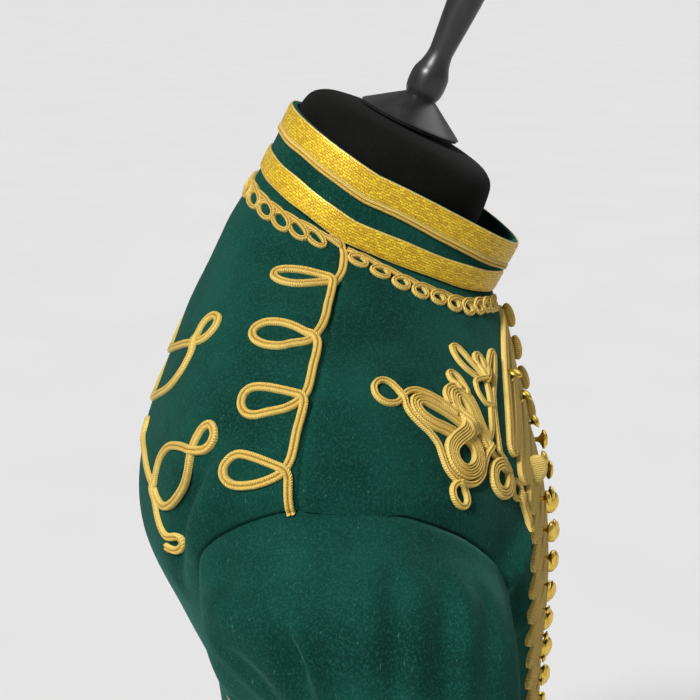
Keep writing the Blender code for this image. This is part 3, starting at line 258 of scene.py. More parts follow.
# Soft folds: the side of the wearer, how wide, how high (a trough is negative), and the line that
# each follows on the cloth (out, forward, up)
Fold = namedtuple("Fold", "side width height path")
FOLDS = (
    Fold(ON_RIGHT, 7.0, -2.6, (
        (166, -50, 650), (164, -68, 629), (157, -78, 611), (147, -84, 591), (140, -87, 575),
        (131, -88, 552),
    )),
    Fold(ON_RIGHT, 12.0, 2.0, ((172, -52, 640), (171, -66, 612), (160, -74, 590), (150, -78, 566))),
    Fold(ON_RIGHT, 5.5, -1.5, (
        (210, 19, 600), (218, 20, 596), (225, 20, 591), (231, 20, 583), (237, 20, 571), (241, 20, 558),
        (245, 19, 520),
    )),
    Fold(ON_RIGHT, 7.0, 1.2, (
        (213, 27, 596), (226, 28, 588), (232, 28, 580), (238, 29, 568), (242, 28, 555), (245, 27, 525),
    )),
    Fold(ON_RIGHT, 7.5, 0.9, (
        (216, 11, 597), (230, 11, 584), (236, 11, 573), (241, 10, 558), (245, 10, 525),
    )),
    Fold(ON_RIGHT, 8.0, -1.4, (
        (204, 43, 595), (220, 44, 586), (229, 44, 576), (236, 44, 562), (241, 43, 545), (243, 42, 515),
    )),
    Fold(ON_RIGHT, 4.5, 1.0, (
        (202, 51, 591), (216, 52, 583), (225, 52, 577), (233, 52, 565), (238, 52, 552), (241, 51, 530),
    )),
    Fold(ON_RIGHT, 6.0, -1.2, (
        (197, 61, 582), (209, 63, 574), (219, 63, 568), (227, 63, 557), (232, 63, 535),
    )),
    Fold(ON_RIGHT, 4.4, -2.5, (
        (229, -33, 572), (232, -28, 565), (233, -25, 558), (232, -24, 548), (231, -21, 530),
    )),
    Fold(ON_RIGHT, 4.2, 2.2, (
        (230, -26, 573), (234, -21, 567), (236, -17, 561), (237, -14, 552), (238, -10, 532),
    )),
    Fold(ON_RIGHT, 11.0, -1.6, (
        (218, -44, 578), (223, -33, 583), (224, -18, 589), (220, -7, 594), (208, 2, 598),
    )),
    Fold(ON_RIGHT, 6.5, 1.2, (
        (178, -72, 563), (195, -65, 568), (209, -57, 572), (221, -46, 571), (227, -38, 569),
    )),
    Fold(ON_RIGHT, 7.0, -1.2, ((208, -58, 556), (215, -51, 547), (217, -41, 537), (221, -32, 526))),
    Fold(ON_RIGHT, 4.5, -0.9, ((180, -61, 584), (194, -58, 580), (209, -54, 576))),
    Fold(ON_RIGHT, 6.5, 2.6, (
        (110, 92, 575), (118, 88, 566), (126, 84, 561), (135, 78, 555), (143, 68, 548),
    )),
    Fold(ON_RIGHT, 8.0, -2.2, ((122, 86, 546), (120, 87, 532), (112, 90, 516), (104, 93, 500))),
    Fold(ON_RIGHT, 5.0, 1.6, ((122, 84, 520), (112, 91, 514), (100, 96, 512))),
    Fold(ON_RIGHT, 10.0, -2.4, ((236, 52, 440), (250, 30, 430), (252, 2, 424), (240, -14, 420))),
    Fold(ON_RIGHT, 9.0, 2.4, ((238, 54, 415), (251, 34, 404), (252, 10, 398))),
    Fold(ON_RIGHT, 8.0, -2.6, ((222, 66, 352), (244, 52, 340), (252, 30, 332), (250, 8, 334))),
    Fold(ON_RIGHT, 8.0, 2.2, ((226, 66, 330), (246, 48, 318), (252, 26, 312))),
    Fold(ON_RIGHT, 8.0, -2.4, ((180, 44, 330), (186, 56, 312), (202, 66, 296), (222, 66, 284))),
    Fold(ON_RIGHT, 7.0, -1.8, ((214, -4, 250), (196, 4, 230), (184, 20, 214))),
    Fold(ON_RIGHT, 11.0, -2.0, ((148, 20, 420), (140, 50, 408), (122, 78, 402), (100, 92, 404))),
    Fold(ON_RIGHT, 9.0, 1.6, ((150, 10, 396), (142, 44, 384), (124, 72, 378))),
    Fold(ON_RIGHT, 10.0, -1.8, ((140, -30, 400), (120, -56, 392), (90, -70, 392), (60, -76, 398))),
    Fold(ON_LEFT, 7.5, -2.2, ((166, -52, 648), (164, -70, 624), (155, -80, 604), (144, -86, 582))),
    Fold(ON_LEFT, 7.0, -2.8, ((228, 10, 590), (233, 8, 578), (240, 4, 556), (246, 2, 524))),
    Fold(ON_LEFT, 8.5, 2.2, ((226, 24, 588), (235, 22, 570), (243, 18, 540))),
    Fold(ON_LEFT, 6.5, -3.0, ((220, 52, 584), (230, 46, 572), (238, 40, 552), (243, 36, 520))),
    Fold(ON_LEFT, 7.5, -2.6, ((218, -44, 572), (228, -32, 560), (236, -22, 536), (242, -14, 505))),
    Fold(ON_LEFT, 9.0, 2.4, ((222, -28, 580), (232, -16, 566), (240, -8, 544))),
    Fold(ON_LEFT, 6.5, 2.4, ((112, 92, 570), (122, 86, 562), (134, 78, 557), (143, 68, 552))),
    Fold(ON_LEFT, 8.0, -2.0, ((124, 84, 550), (121, 86, 534), (113, 90, 512))),
    Fold(ON_LEFT, 10.0, -2.8, ((232, 58, 452), (248, 36, 436), (252, 8, 432), (244, -12, 436))),
    Fold(ON_LEFT, 8.0, 2.2, ((236, 56, 398), (250, 34, 390), (252, 10, 392))),
    Fold(ON_LEFT, 8.0, -2.4, ((224, 66, 340), (246, 48, 326), (252, 22, 322))),
    Fold(ON_LEFT, 9.0, -2.2, ((178, 40, 316), (190, 60, 300), (212, 68, 290))),
    Fold(ON_LEFT, 10.0, -2.2, ((150, 14, 404), (142, 46, 394), (124, 76, 392), (104, 90, 398))),
    Fold(ON_LEFT, 11.0, -1.8, ((146, -20, 428), (128, -50, 416), (98, -70, 412), (66, -78, 414))),
    Fold(ON_LEFT, 9.0, 1.6, ((146, -24, 402), (126, -54, 392), (96, -70, 388))),
)
FOLD_DEPTH = 3.2
# How far a fold reaches, in its widths, and how it fades towards its ends
FOLD_REACH = 3.0
FOLD_END = 0.04
FOLD_TAPER = 0.7

# Dips along the sewn borders, and the roll of the sleeve's head below its seam
SEAM_DIP = 1.6
SEAM_REACH = 1.7
SLEEVE_SEAM_REACH = 2.6
HEAD_TUCK = 0.6
HEAD_ROLL = 1.6
HEAD_ROLL_PLACE = 9.0
HEAD_ROLL_WIDTH = 7.0
HEAD_LEAVE = 0.9
HEAD_LIFT = 0.3
ARM_RINGS = 3
SLEEVE_TEST_ROW = 40

# Cuts of the cloth, as width and length in metres and flat area in square metres
Cut = namedtuple("Cut", "flat area")
TOP_CUT = Cut((0.28, 0.62), 0.099)
UNDER_CUT = Cut((0.21, 0.55), 0.058)

# Cords that are seen: how many lie side by side, how wide each is, and how high
Strand = namedtuple("Strand", "cords width height")
BRAID_STRAND = Strand(1, 4.5, 2.1)
EYE_STRAND = Strand(1, 2.7, 1.8)
OUTLINE_STRAND = Strand(1, 3.3, 2.0)
ROPE_STRAND = Strand(2, 3.3, 2.6)
RING_STRAND = Strand(3, 2.7, 2.8)
TAIL_STRAND = Strand(2, 2.75, 2.4)
ROW_STRAND = Strand(1, 2.6, 2.8)
STRAND_SINK = 0.7
SKIN_REACH = 14.0

# Where cords cross: how the lift sets in, its share, and how often it is smoothed
CROSS_RAMP = 1.35
CROSS_SHARE = 0.8
CROSS_ROUNDS = 4
OWN_APART = 2.2

# Rows of braid and their buttons as they are seen
ROW_SLIT = 2.7
ROW_APART = 3.0
ROW_SWELL = 0.8
ROW_END_TURNS = 8
SEEN_INNER_BUTTONS = (54.0, 48.0, 44.0, 47.0, 52.0, 55.0)
SIDE_BUTTON = 0.78
LOW_SIDE_BUTTON = 0.5
TURNED_ROW = 5
TURNED_BUTTON = 1.3
TURNED_LEAN = 0.8
BUTTON_SINK = 0.6
BUTTON_LEAN = 0.16
BUTTON_NOD = (-0.10, 0.12)
CENTRE_BUTTON = 1.1
NOD_ROWS = 4.0
PAD_ROW = 2
OLIVET_GROOVES = 9.0
GROOVE_DEPTH = 0.12
BUTTON_SIDES = 24
PAD_SIDES = 32
OLIVET_SIDES = 36
# Places across a cord that the braid material reads: the olivet gets only the painted shade between threads,
# and the pad gets the painted highlight all over
OLIVET_SHADE = 0.5
PAD_HIGHLIGHT_PLACE = 0.9
CORD_STEP = 1.1
ROW_STEP = 2.2

# The shoulder braid as one line: distances along the shoulder seam and behind it
SHOULDER_ROUTE = (
    (2.3, 9.9), (0.5, 4.5), (2.3, 1.2), (7.4, -0.8), (17.7, -0.9), (25.2, 1.2), (27.8, 3.6), (34.0, 12.8),
    (40.8, 23.6), (44.2, 32.8), (43.6, 38.6), (39.2, 37.9), (34.0, 31.7), (29.5, 21.7), (27.1, 11.5),
    (27.2, 6.2), (29.9, 3.6), (38.8, 3.6), (47.0, 4.1), (55.0, 4.2), (63.3, 5.2), (72.2, 7.7), (78.6, 11.5),
    (83.8, 18.9), (88.6, 25.5), (91.9, 34.4), (92.2, 41.8), (89.6, 44.6), (84.7, 43.0), (78.1, 36.7),
    (73.6, 28.2), (72.0, 21.0), (72.6, 14.1), (74.1, 8.8), (77.0, 5.8), (83.5, 5.2), (92.3, 5.4),
    (98.5, 5.1), (106.2, 4.9), (110.9, 5.9), (115.4, 8.2), (120.3, 13.1), (124.7, 20.7), (128.9, 28.8),
    (130.0, 35.4), (127.2, 38.6), (121.8, 38.2), (116.9, 34.0), (113.8, 27.1), (112.1, 19.4), (111.2, 12.3),
    (111.8, 7.4), (114.6, 5.0), (121.3, 4.7), (129.5, 5.3), (138.8, 5.6), (144.3, 6.3), (149.1, 8.2),
    (153.0, 11.2), (157.2, 17.4), (161.0, 25.5), (163.2, 34.0), (161.9, 38.9), (158.2, 40.2), (153.5, 38.0),
    (150.0, 33.6), (148.7, 27.5), (148.5, 20.8), (148.9, 14.1), (149.8, 9.4), (152.2, 6.5), (158.6, 5.5),
    (170.0, 5.3),
)

# Eyes under the collar, behind and in front
EYE_POINTS = 28
EYE_RUN = 3.3
BACK_EYE_RUN = 3.9
SEEN_BACK_EYES = table(NeckEye, (
    (105.0, 8.2), (115.4, 10.2), (126.6, 11.7), (139.4, 12.0), (153.4, 12.2), (171.0, 12.2),
))
EYE_SWING = 0.6
BACK_EYE_SWING = 0.74
BACK_EYE_LEAD = ((91.5, 4.6), (94.0, 4.4), (97.0, 4.2))
BACK_EYE_END = 10.0
FRONT_EYE_START = 6.0
FRONT_EYE_END = 6.6
SEEN_FRONT_EYES = table(NeckEye, (
    (86.2, 7.6), (78.6, 8.9), (71.4, 10.6), (64.3, 11.4), (56.8, 11.2), (49.3, 11.9), (41.6, 11.6),
    (34.0, 9.8), (27.0, 8.2), (20.2, 8.0), (13.6, 7.8),
))

# Figures on the back as single lines: distances out from the centre back and up above the ground,
# and the angle and ring near which each line starts
UPPER_START = (178.0, 5.8)
LOWER_START = (165.0, 6.9)
UPPER_ROUTE = (
    (1.5, 640.0), (30.0, 647.0), (66.5, 658.8), (83.0, 664.6), (94.4, 668.2), (103.0, 672.6),
    (104.0, 678.0), (99.5, 682.2), (93.3, 682.2), (90.4, 678.2), (92.3, 673.5), (97.3, 668.3),
    (101.0, 661.6), (99.4, 652.5), (87.9, 641.5), (58.4, 629.0), (27.0, 618.0), (1.5, 613.0),
)
LOWER_ROUTE = (
    (58.0, 603.4), (53.4, 606.0), (52.6, 611.2), (56.6, 614.2), (60.6, 611.4), (61.0, 607.0), (66.4, 605.4),
    (85.1, 604.2), (103.6, 600.2), (117.0, 597.4), (124.0, 593.6), (132.1, 592.9), (140.6, 598.1),
    (148.2, 608.3), (152.2, 618.7), (153.0, 627.0), (151.9, 635.4), (151.6, 640.9), (154.0, 643.4),
    (157.9, 641.2), (159.9, 636.4), (158.2, 632.3), (153.0, 629.9), (141.5, 628.0), (129.4, 623.6),
    (121.7, 615.9), (118.9, 606.9), (118.0, 596.6), (120.7, 587.7), (125.6, 580.0), (131.4, 576.2),
    (137.0, 577.2), (138.6, 573.2), (134.4, 568.8), (128.6, 569.6),
)

# Strands of the chest knots in the order they are laid, in a flat frame: across towards the centre
# front, and up. A strand that ends where it starts is closed.
Laid = namedtuple("Laid", "strand lift path")
OUTER_KNOT_STRANDS = (
    Laid(ROPE_STRAND, 0.0, (
        (13.0, 2.5), (10.0, 7.0), (5.0, 12.8), (0.0, 18.0), (-5.0, 22.2), (-10.0, 23.2), (-12.8, 20.4),
        (-12.2, 15.2), (-8.2, 9.6), (-3.0, 5.6), (2.5, 1.0),
    )),
    Laid(RING_STRAND, 0.2, (
        (10.6, -3.0), (13.4, -6.6), (14.0, -11.6), (11.4, -16.4), (6.4, -19.2), (0.4, -19.2), (-4.6, -16.2),
        (-6.6, -11.0), (-4.8, -5.8), (-0.2, -2.8), (5.0, -1.6), (10.0, -0.4), (14.0, 2.4),
    )),
    Laid(ROPE_STRAND, 0.0, (
        (17.2, -4.0), (15.6, 2.0), (14.2, 8.0), (14.4, 13.6), (17.2, 18.4), (21.6, 18.8), (24.8, 14.6),
        (25.2, 8.0), (24.6, 0.6), (25.2, -7.0), (27.0, -14.4),
    )),
    Laid(OUTLINE_STRAND, 0.2, (
        (10.0, 9.5), (4.8, 18.0), (-0.6, 24.4), (-6.0, 28.2), (-12.0, 29.0), (-17.6, 26.8), (-22.6, 26.0),
        (-27.6, 28.2), (-29.6, 33.0), (-27.2, 37.8), (-22.4, 39.4), (-18.2, 37.4), (-16.4, 32.2),
        (-17.0, 25.8), (-18.0, 19.3), (-16.2, 12.6), (-13.2, 6.2), (-11.6, -0.6), (-12.6, -6.8),
        (-13.2, -13.0), (-11.2, -18.6), (-8.0, -21.6),
    )),
    Laid(OUTLINE_STRAND, 0.4, (
        (29.0, -11.6), (22.5, -15.0), (16.4, -19.2), (10.8, -23.6), (4.4, -25.6), (-1.4, -25.2),
        (-6.6, -23.0), (-11.4, -21.8), (-15.0, -23.6), (-16.2, -27.4), (-14.8, -31.4), (-11.4, -33.6),
        (-8.2, -32.2), (-7.0, -28.6), (-7.8, -24.8), (-9.8, -21.8),
    )),
    Laid(OUTLINE_STRAND, 0.2, (
        (10.4, 15.6), (12.0, 20.8), (17.0, 23.6), (23.4, 23.0), (27.8, 18.8), (29.2, 12.4), (28.9, 5.4),
        (28.4, -1.6), (29.0, -8.4),
    )),
    Laid(EYE_STRAND, 0.2, (
        (24.6, 20.6), (23.4, 25.0), (23.6, 29.0), (26.2, 31.0), (29.2, 29.4), (30.8, 25.0), (30.2, 20.4),
        (27.0, 16.4),
    )),
)
INNER_KNOT_STRANDS = (
    Laid(OUTLINE_STRAND, 0.0, (
        (-13.0, -3.4), (-6.0, -1.0), (1.2, 3.0), (7.4, 8.8), (12.6, 14.0), (16.6, 18.6), (20.0, 23.4),
        (21.4, 28.0), (20.8, 33.2), (19.4, 38.4), (18.8, 43.6), (17.4, 48.0), (14.2, 49.0), (11.4, 46.0),
        (10.0, 41.4), (10.8, 36.4), (13.4, 31.8), (17.2, 27.4),
    )),
    Laid(OUTLINE_STRAND, 0.0, (
        (21.0, 26.4), (22.4, 33.1), (25.0, 37.6), (29.0, 39.5), (31.3, 37.3), (30.2, 32.7), (26.6, 28.2),
        (21.6, 24.6),
    )),
    Laid(OUTLINE_STRAND, 0.0, (
        (19.0, 25.6), (25.2, 27.2), (34.1, 31.1), (43.1, 35.2), (48.0, 36.3), (47.2, 32.9), (35.2, 24.9),
        (20.4, 16.4), (9.2, 4.4), (2.6, -5.6), (0.6, -10.1), (3.4, -15.0),
    )),
    Laid(EYE_STRAND, 0.0, (
        (19.6, 26.6), (13.4, 28.4), (9.4, 26.8), (6.8, 22.0), (8.0, 16.4), (12.6, 13.2),
    )),
    Laid(OUTLINE_STRAND, 0.0, (
        (-8.8, 3.6), (-9.2, -3.8), (-6.9, -9.6), (-4.0, -13.7),
    )),
    Laid(ROPE_STRAND, 0.0, (
        (1.4, -21.0), (-1.2, -16.2), (-7.6, -13.6), (-14.2, -15.2), (-17.6, -20.6), (-15.0, -26.2),
        (-8.8, -28.6), (-2.4, -26.6), (1.4, -21.0),
    )),
    Laid(EYE_STRAND, 0.2, (
        (4.6, -25.4), (0.4, -28.6), (-0.6, -32.6), (2.6, -35.8), (7.6, -36.6), (12.2, -34.4), (11.8, -30.2),
        (7.0, -26.6),
    )),
    Laid(TAIL_STRAND, 0.3, (
        (6.8, -34.0), (9.0, -42.0), (8.8, -48.0), (7.6, -54.0),
    )),
)

SeenPoint = namedtuple("SeenPoint", "radius height")
SEEN_BUTTON = table(SeenPoint, (
    (0.0, 8.0), (2.0, 7.8), (3.7, 7.2), (4.8, 6.4), (5.2, 5.8), (5.3, 5.4), (5.0, 5.0), (3.6, 4.5),
    (2.2, 3.6), (1.4, 2.6), (1.2, 1.4), (1.2, -1.0), (0.0, -1.0),
))
PAD_TURN = 1.6
SEEN_PAD = table(SeenPoint, (
    (0.0, 3.0), (4.0, 2.9), (6.6, 2.3), (7.9, 1.2), (7.6, 0.2), (5.0, -0.6), (0.0, -0.8),
))
SEEN_OLIVET = table(SeenPoint, (
    (0.0, 7.4), (1.1, 7.2), (2.1, 6.2), (2.9, 4.2), (3.3, 2.0), (3.4, 0.0), (3.3, -2.0), (2.9, -4.2),
    (2.1, -6.2), (1.1, -7.2), (0.0, -7.4),
))

# Half of one cord's outline: the place from its middle to its edge, and the share of its height
HALF_CORD = ((0.14, 0.80), (0.38, 0.97), (0.68, 0.95), (0.92, 0.55), (0.97, 0.0))
CORD_OUTLINE = [(-place, share) for place, share in reversed(HALF_CORD)] + [(0.0, 0.66), *HALF_CORD]

# Colours in linear light
WOOL_DARK = (0.0026, 0.0235, 0.0162)
WOOL_LIGHT = (0.0050, 0.046, 0.0325)
WOOL_NAP = (0.014, 0.100, 0.078)
WOOL_LINT = (0.16, 0.32, 0.27)
# This braid colour is painted shade in each cord's groove and between its threads, and it also colours
# random dark specks
BRAID_PAINTED_SHADE_AND_SPECKS = (0.235, 0.118, 0.016)
BRAID_LIGHT = (0.70, 0.49, 0.100)
BRAID_WARM = (0.58, 0.36, 0.045)
# This braid colour is a painted highlight on the raised shoulders of each cord
BRAID_PAINTED_HIGHLIGHT = (0.84, 0.66, 0.20)
# This lace colour is painted shade in the gaps between the floats
LACE_PAINTED_SHADE = (0.30, 0.135, 0.003)
LACE_LIGHT = (0.80, 0.555, 0.026)
LACE_WIRE = (0.60, 0.48, 0.18)
GILT_DARK = (0.62, 0.38, 0.03)
GILT_LIGHT = (0.95, 0.68, 0.12)
FLOOR_DARK = (0.59, 0.59, 0.59)
FLOOR_LIGHT = (0.61, 0.61, 0.61)

# Light and camera: suns as name, place, strength and softness, fills as name, place, size and power
SKY_STRENGTH = 0.22
SUNS = (("key", (-5.8, 4.2, 7.0), 4.25, 14.0), ("far_side", (5.0, -6.0, 6.5), 0.65, 40.0))
FILLS = (("window", (-1.5, 0.9, 1.5), 0.9, 3.0),)
FILL_AIM = (0.0, 0.0, 0.6)
FLOOR_REACH = 60.0
CAMERA_PLACE = (-0.850, 0.0, 0.871)
CAMERA_PITCH = 15.3
SENSOR = 36.0
CAMERA_LENS = SENSOR * 1516.0 / 700.0


def blend_rows(rows, place):
    """Reads a smooth curve through the rows of a table at a fractional row number."""
    last = len(rows) - 1
    place = min(max(place, 0.0), float(last))
    low = min(int(place), last - 1)
    part = place - low
    before = np.array(rows[max(low - 1, 0)])
    start = np.array(rows[low])
    end = np.array(rows[low + 1])
    after = np.array(rows[min(low + 2, last)])
    slope_in = (end - before) * 0.5
    slope_out = (after - start) * 0.5
    gap = end - start
    bend = 3.0 * gap - 2.0 * slope_in - slope_out + part * (slope_in + slope_out - 2.0 * gap)
    return start + part * (slope_in + part * bend)


def ring_point(row, angle):
    """A point of one ring. The angle runs from 0 at the centre front to 180 at the centre back."""
    cos = math.cos(math.radians(angle))
    sin = math.sin(math.radians(angle))
    front = cos >= 0.0
    power = 2.0 / (row[7] if front else row[8])
    shape = abs(cos) ** power
    end_fwd = row[0] if front else row[2]
    end_up = row[1] if front else row[3]
    out = row[4] * math.copysign(abs(sin) ** power, sin)
    fwd = row[5] + (end_fwd - row[5]) * shape
    up = row[6] + (end_up - row[6]) * shape
    return np.array((out, fwd, up))


def body_point(angle, ring):
    return ring_point(blend_rows(BODY_RINGS, ring), angle)


def unit(vector):
    return vector / max(np.linalg.norm(vector), TINY)


def units(vectors):
    return vectors / np.maximum(np.linalg.norm(vectors, axis=-1, keepdims=True), TINY)


def run_lengths(points):
    """How far along a line each of its points lies."""
    return np.concatenate(([0.0], np.cumsum(np.linalg.norm(np.diff(points, axis=0), axis=1))))


def path_frame(points, normals, closed):
    """The heading at each point of a line, and the direction across it."""
    if closed:
        headings = units(np.roll(points, -1, axis=0) - np.roll(points, 1, axis=0))
    else:
        headings = units(np.gradient(points, axis=0))
    return headings, units(np.cross(normals, headings))


def body_normal(angle, ring):
    turn = 0.8
    step = 0.05
    low = max(ring - step, 0.0)
    high = min(ring + step, RING_HEM)
    round_body = body_point(angle + turn, ring) - body_point(angle - turn, ring)
    down_body = body_point(angle, high) - body_point(angle, low)
    return unit(np.cross(round_body, down_body))


def armhole_turns(points, front_count):
    """Angles round the sleeve: 0 at the shoulder, 90 in front, 180 at the underarm."""
    count = len(points)
    lengths = [0.0]
    for i in range(count):
        lengths.append(lengths[-1] + np.linalg.norm(points[(i + 1) % count] - points[i]))
    front_length = lengths[front_count]
    turns = []
    for i in range(count):
        if i <= front_count:
            turns.append(180.0 * lengths[i] / front_length)
        else:
            turns.append(180.0 + 180.0 * (lengths[i] - front_length) / (lengths[-1] - front_length))
    return turns


def sleeve_ring_point(row, turn):
    cos = math.cos(math.radians(turn))
    sin = math.sin(math.radians(turn))
    out = row.out + row.half_width * cos
    fwd = row.fwd + row.half_depth * sin
    rise = row.outer_rise if cos > 0.0 else row.inner_drop
    up = row.up + rise * cos + row.front_rise * sin
    return np.array((out, fwd, up))


def hermite(start, end, leave, arrive, part):
    square = part * part
    cube = square * part
    keep = 2.0 * cube - 3.0 * square + 1.0
    out_of = cube - 2.0 * square + part
    into = cube - square
    return start * keep + end * (1.0 - keep) + leave * out_of + arrive * into


def collar_axis():
    lean = math.radians(COLLAR_LEAN)
    return np.array((0.0, math.sin(lean), math.cos(lean)))


def collar_height(angle):
    front = max(math.cos(math.radians(angle)), 0.0) ** COLLAR_SLOPE
    return COLLAR_BACK + (COLLAR_FRONT - COLLAR_BACK) * front


def collar_normal(angle):
    ahead = body_point(angle + 1.0, 0.0)
    behind = body_point(angle - 1.0, 0.0)
    outward = unit(np.cross(collar_axis(), ahead - behind))
    centre = body_point(90.0, 0.0) * np.array((0.0, 1.0, 1.0))
    if np.dot(outward, body_point(angle, 0.0) - centre) < 0.0:
        outward = -outward
    return outward


def collar_point(angle, rise, proud):
    return body_point(angle, 0.0) + collar_axis() * rise + collar_normal(angle) * proud


def form_rings():
    """The form's outline inside the cloth, then its own rings down to the base."""
    rings = []
    for place in FORM_BODY_PLACES:
        row = list(blend_rows(BODY_RINGS, place))
        inset = FORM_CLEAR + CLOTH
        row[0] -= inset
        row[2] += inset
        row[4] -= inset
        drop = inset * max(0.0, (FORM_DROP_PLACE - place) / FORM_DROP_SPAN)
        row[1] -= drop
        row[3] -= drop
        row[6] -= drop
        rings.append(row)
    return rings + [list(row) for row in FORM_RINGS]


def neck_point(height, radius, angle):
    """A point round the neck's leaning axis, at a height above the top of the cap."""
    lean = math.radians(CAP_LEAN)
    turn = math.radians(angle)
    axis = np.array((0.0, math.sin(lean), math.cos(lean)))
    forward = np.array((0.0, math.cos(lean), -math.sin(lean)))
    spoke = forward * math.cos(turn) + np.array((1.0, 0.0, 0.0)) * math.sin(turn)
    return np.array(CAP_TOP) + axis * height + spoke * radius


def smooth_line(stops, closed, step):
    """Reads a smooth line through flat stops, about every step millimetres."""
    stops = [np.array(stop, dtype=float) for stop in stops]
    count = len(stops)
    spans = count if closed else count - 1
    line = []
    for i in range(spans):
        start = stops[i]
        end = stops[(i + 1) % count]
        before = stops[i - 1] if closed or i > 0 else start * 2.0 - end
        after = stops[(i + 2) % count] if closed or i + 2 < count else end * 2.0 - start
        pieces = max(1, int(round(np.linalg.norm(end - start) / step)))
        for k in range(pieces):
            line.append(hermite(start, end, (end - before) * 0.5, (after - start) * 0.5, k / pieces))
    if not closed:
        line.append(stops[-1])
    return line


def solve_place(want, measure, guess):
    """Finds the angle and ring at which two measures of the body take the wanted values."""
    place = np.array(guess, dtype=float)
    for _ in range(25):
        error = np.array(want) - measure(place)
        if np.abs(error).max() < 0.01:
            break
        turn = (measure(place + np.array((0.3, 0.0))) - measure(place)) / 0.3
        down = (measure(place + np.array((0.0, 0.03))) - measure(place)) / 0.03
        move = np.linalg.solve(np.array((turn, down)).T, error)
        place += np.clip(move * 0.9, (-9.0, -0.7), (9.0, 0.7))
        place[1] = min(max(place[1], 0.0), RING_HEM)
    return tuple(place)


def elevation_places(line, guess):
    """Places of points given by their distance out and their height."""
    places = []
    for out, up in line:
        guess = solve_place((out, up), lambda place: body_point(*place)[[0, 2]], guess)
        places.append(guess)
    return places


class Patch:
    """A flat drafting frame that touches the body at one place, with a side and an up direction."""

    def __init__(self, angle, ring):
        self.guess = (angle, ring)
        self.origin = body_point(angle, ring)
        normal = body_normal(angle, ring)
        self.up = unit(UPRIGHT - normal * normal[2])
        side = np.cross(self.up, normal)
        self.side = side if side[1] > 0.0 else -side

    def measure(self, place):
        offset = body_point(*place) - self.origin
        return np.array((np.dot(offset, self.side), np.dot(offset, self.up)))

    def places(self, line):
        found = []
        guess = self.guess
        for stop in line:
            guess = solve_place(tuple(stop), self.measure, guess)
            found.append(guess)
        return found


def seam_places(line):
    """Places of points given by their distance along the shoulder seam and behind it."""
    rings = np.linspace(0.0, 6.2, 63)
    seam = [body_point(90.0, ring) for ring in rings]
    lengths = run_lengths(seam)
    places = []
    for along, behind in line:
        ring = float(np.interp(along, lengths, rings))
        angle = 90.0
        steps = 6
        for _ in range(steps):
            scale = np.linalg.norm(body_point(angle + 0.5, ring) - body_point(angle - 0.5, ring))
            angle += behind / steps / scale
        places.append((angle, ring))
    return places


def neck_places(line):
    """Places of points given by their angle round the neck and their distance below its seam."""
    places = []
    for angle, drop in line:
        scale = np.linalg.norm(body_point(angle, 0.6) - body_point(angle, 0.0)) / 0.6
        places.append((angle, drop / scale))
    return places


def world(points):
    """The wearer's frame (out, forward, up) in millimetres, as metres in the row frame."""
    points = np.asarray(points, dtype=float)
    return np.stack((-points[..., 0], -points[..., 1], points[..., 2]), axis=-1) * MM


def fold_shift(points):
    """How far the folds lift or sink each point of an N by 3 array."""
    total = np.zeros(len(points))
    for fold in FOLDS:
        path = np.array(fold.path, dtype=float) * (fold.side, 1.0, 1.0)
        reach = fold.width * FOLD_REACH
        low = path.min(axis=0) - reach
        high = path.max(axis=0) + reach
        near = np.where(((points > low) & (points < high)).all(axis=1))[0]
        if len(near) == 0:
            continue
        chosen = points[near]
        best = np.full(len(near), 1e9)
        along = np.zeros(len(near))
        for k in range(len(path) - 1):
            leg = path[k + 1] - path[k]
            part = np.clip((chosen - path[k]) @ leg / (leg @ leg), 0.0, 1.0)
            away = np.linalg.norm(chosen - path[k] - part[:, None] * leg, axis=1)
            closer = away < best
            best[closer] = away[closer]
            along[closer] = (k + part[closer]) / (len(path) - 1)
        taper = np.sin(math.pi * np.clip(along, FOLD_END, 1.0 - FOLD_END)) ** FOLD_TAPER
        total[near] += fold.height * taper * np.exp(-((best / fold.width) ** 2))
    return total * FOLD_DEPTH


def make_mesh(name, points, faces, uvs, finish, node, sharp=CLOTH_SHARP):
    """Adds a shown piece that rides on the part and stands for a CAD node."""
    mesh = bpy.data.meshes.new(name)
    mesh.from_pydata([tuple(p) for p in world(points)], [], faces)
    if uvs is not None:
        layer = mesh.uv_layers.new(name="thread")
        corners = np.zeros(len(mesh.loops), dtype=np.int32)
        mesh.loops.foreach_get("vertex_index", corners)
        layer.data.foreach_set("uv", np.asarray(uvs, dtype=np.float32)[corners].ravel())
    shape = bmesh.new()
    shape.from_mesh(mesh)
    bmesh.ops.recalc_face_normals(shape, faces=shape.faces)
    shape.to_mesh(mesh)
    shape.free()
    mesh.materials.append(finish)
    mesh.shade_smooth()
    mesh.set_sharp_from_angle(angle=math.radians(sharp))
    item = bpy.data.objects.new(name, mesh)
    bpy.context.scene.collection.objects.link(item)
    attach(item, "root")
    if node is not None:
        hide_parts(node)
    return item


def shell_faces(rows, columns, closed_round=False):
    """Faces of a wall with two skins of the same grid."""
    shift = rows * columns
    faces = []
    spans = columns if closed_round else columns - 1
    for i in range(rows - 1):
        for j in range(spans):
            k = (j + 1) % columns
            a, b, c, d = i * columns + j, i * columns + k, (i + 1) * columns + k, (i + 1) * columns + j
            faces.append((a, b, c, d))
            faces.append((d + shift, c + shift, b + shift, a + shift))
    for j in range(spans):
        k = (j + 1) % columns
        faces.append((j, j + shift, k + shift, k))
        a, b = (rows - 1) * columns + j, (rows - 1) * columns + k
        faces.append((a, b, b + shift, a + shift))
    if not closed_round:
        for i in range(rows - 1):
            a, b = i * columns, (i + 1) * columns
            faces.append((a, b, b + shift, a + shift))
            a, b = a + columns - 1, b + columns - 1
            faces.append((a, a + shift, b + shift, b))
    return faces


def skin_normals(grid, closed_round=False):
    """Normals of a grid of points, by the slopes along its rows and columns."""
    if closed_round:
        across = np.roll(grid, -1, axis=1) - np.roll(grid, 1, axis=1)
    else:
        across = np.gradient(grid, axis=1)
    down = np.gradient(grid, axis=0)
    return units(np.cross(across, down))


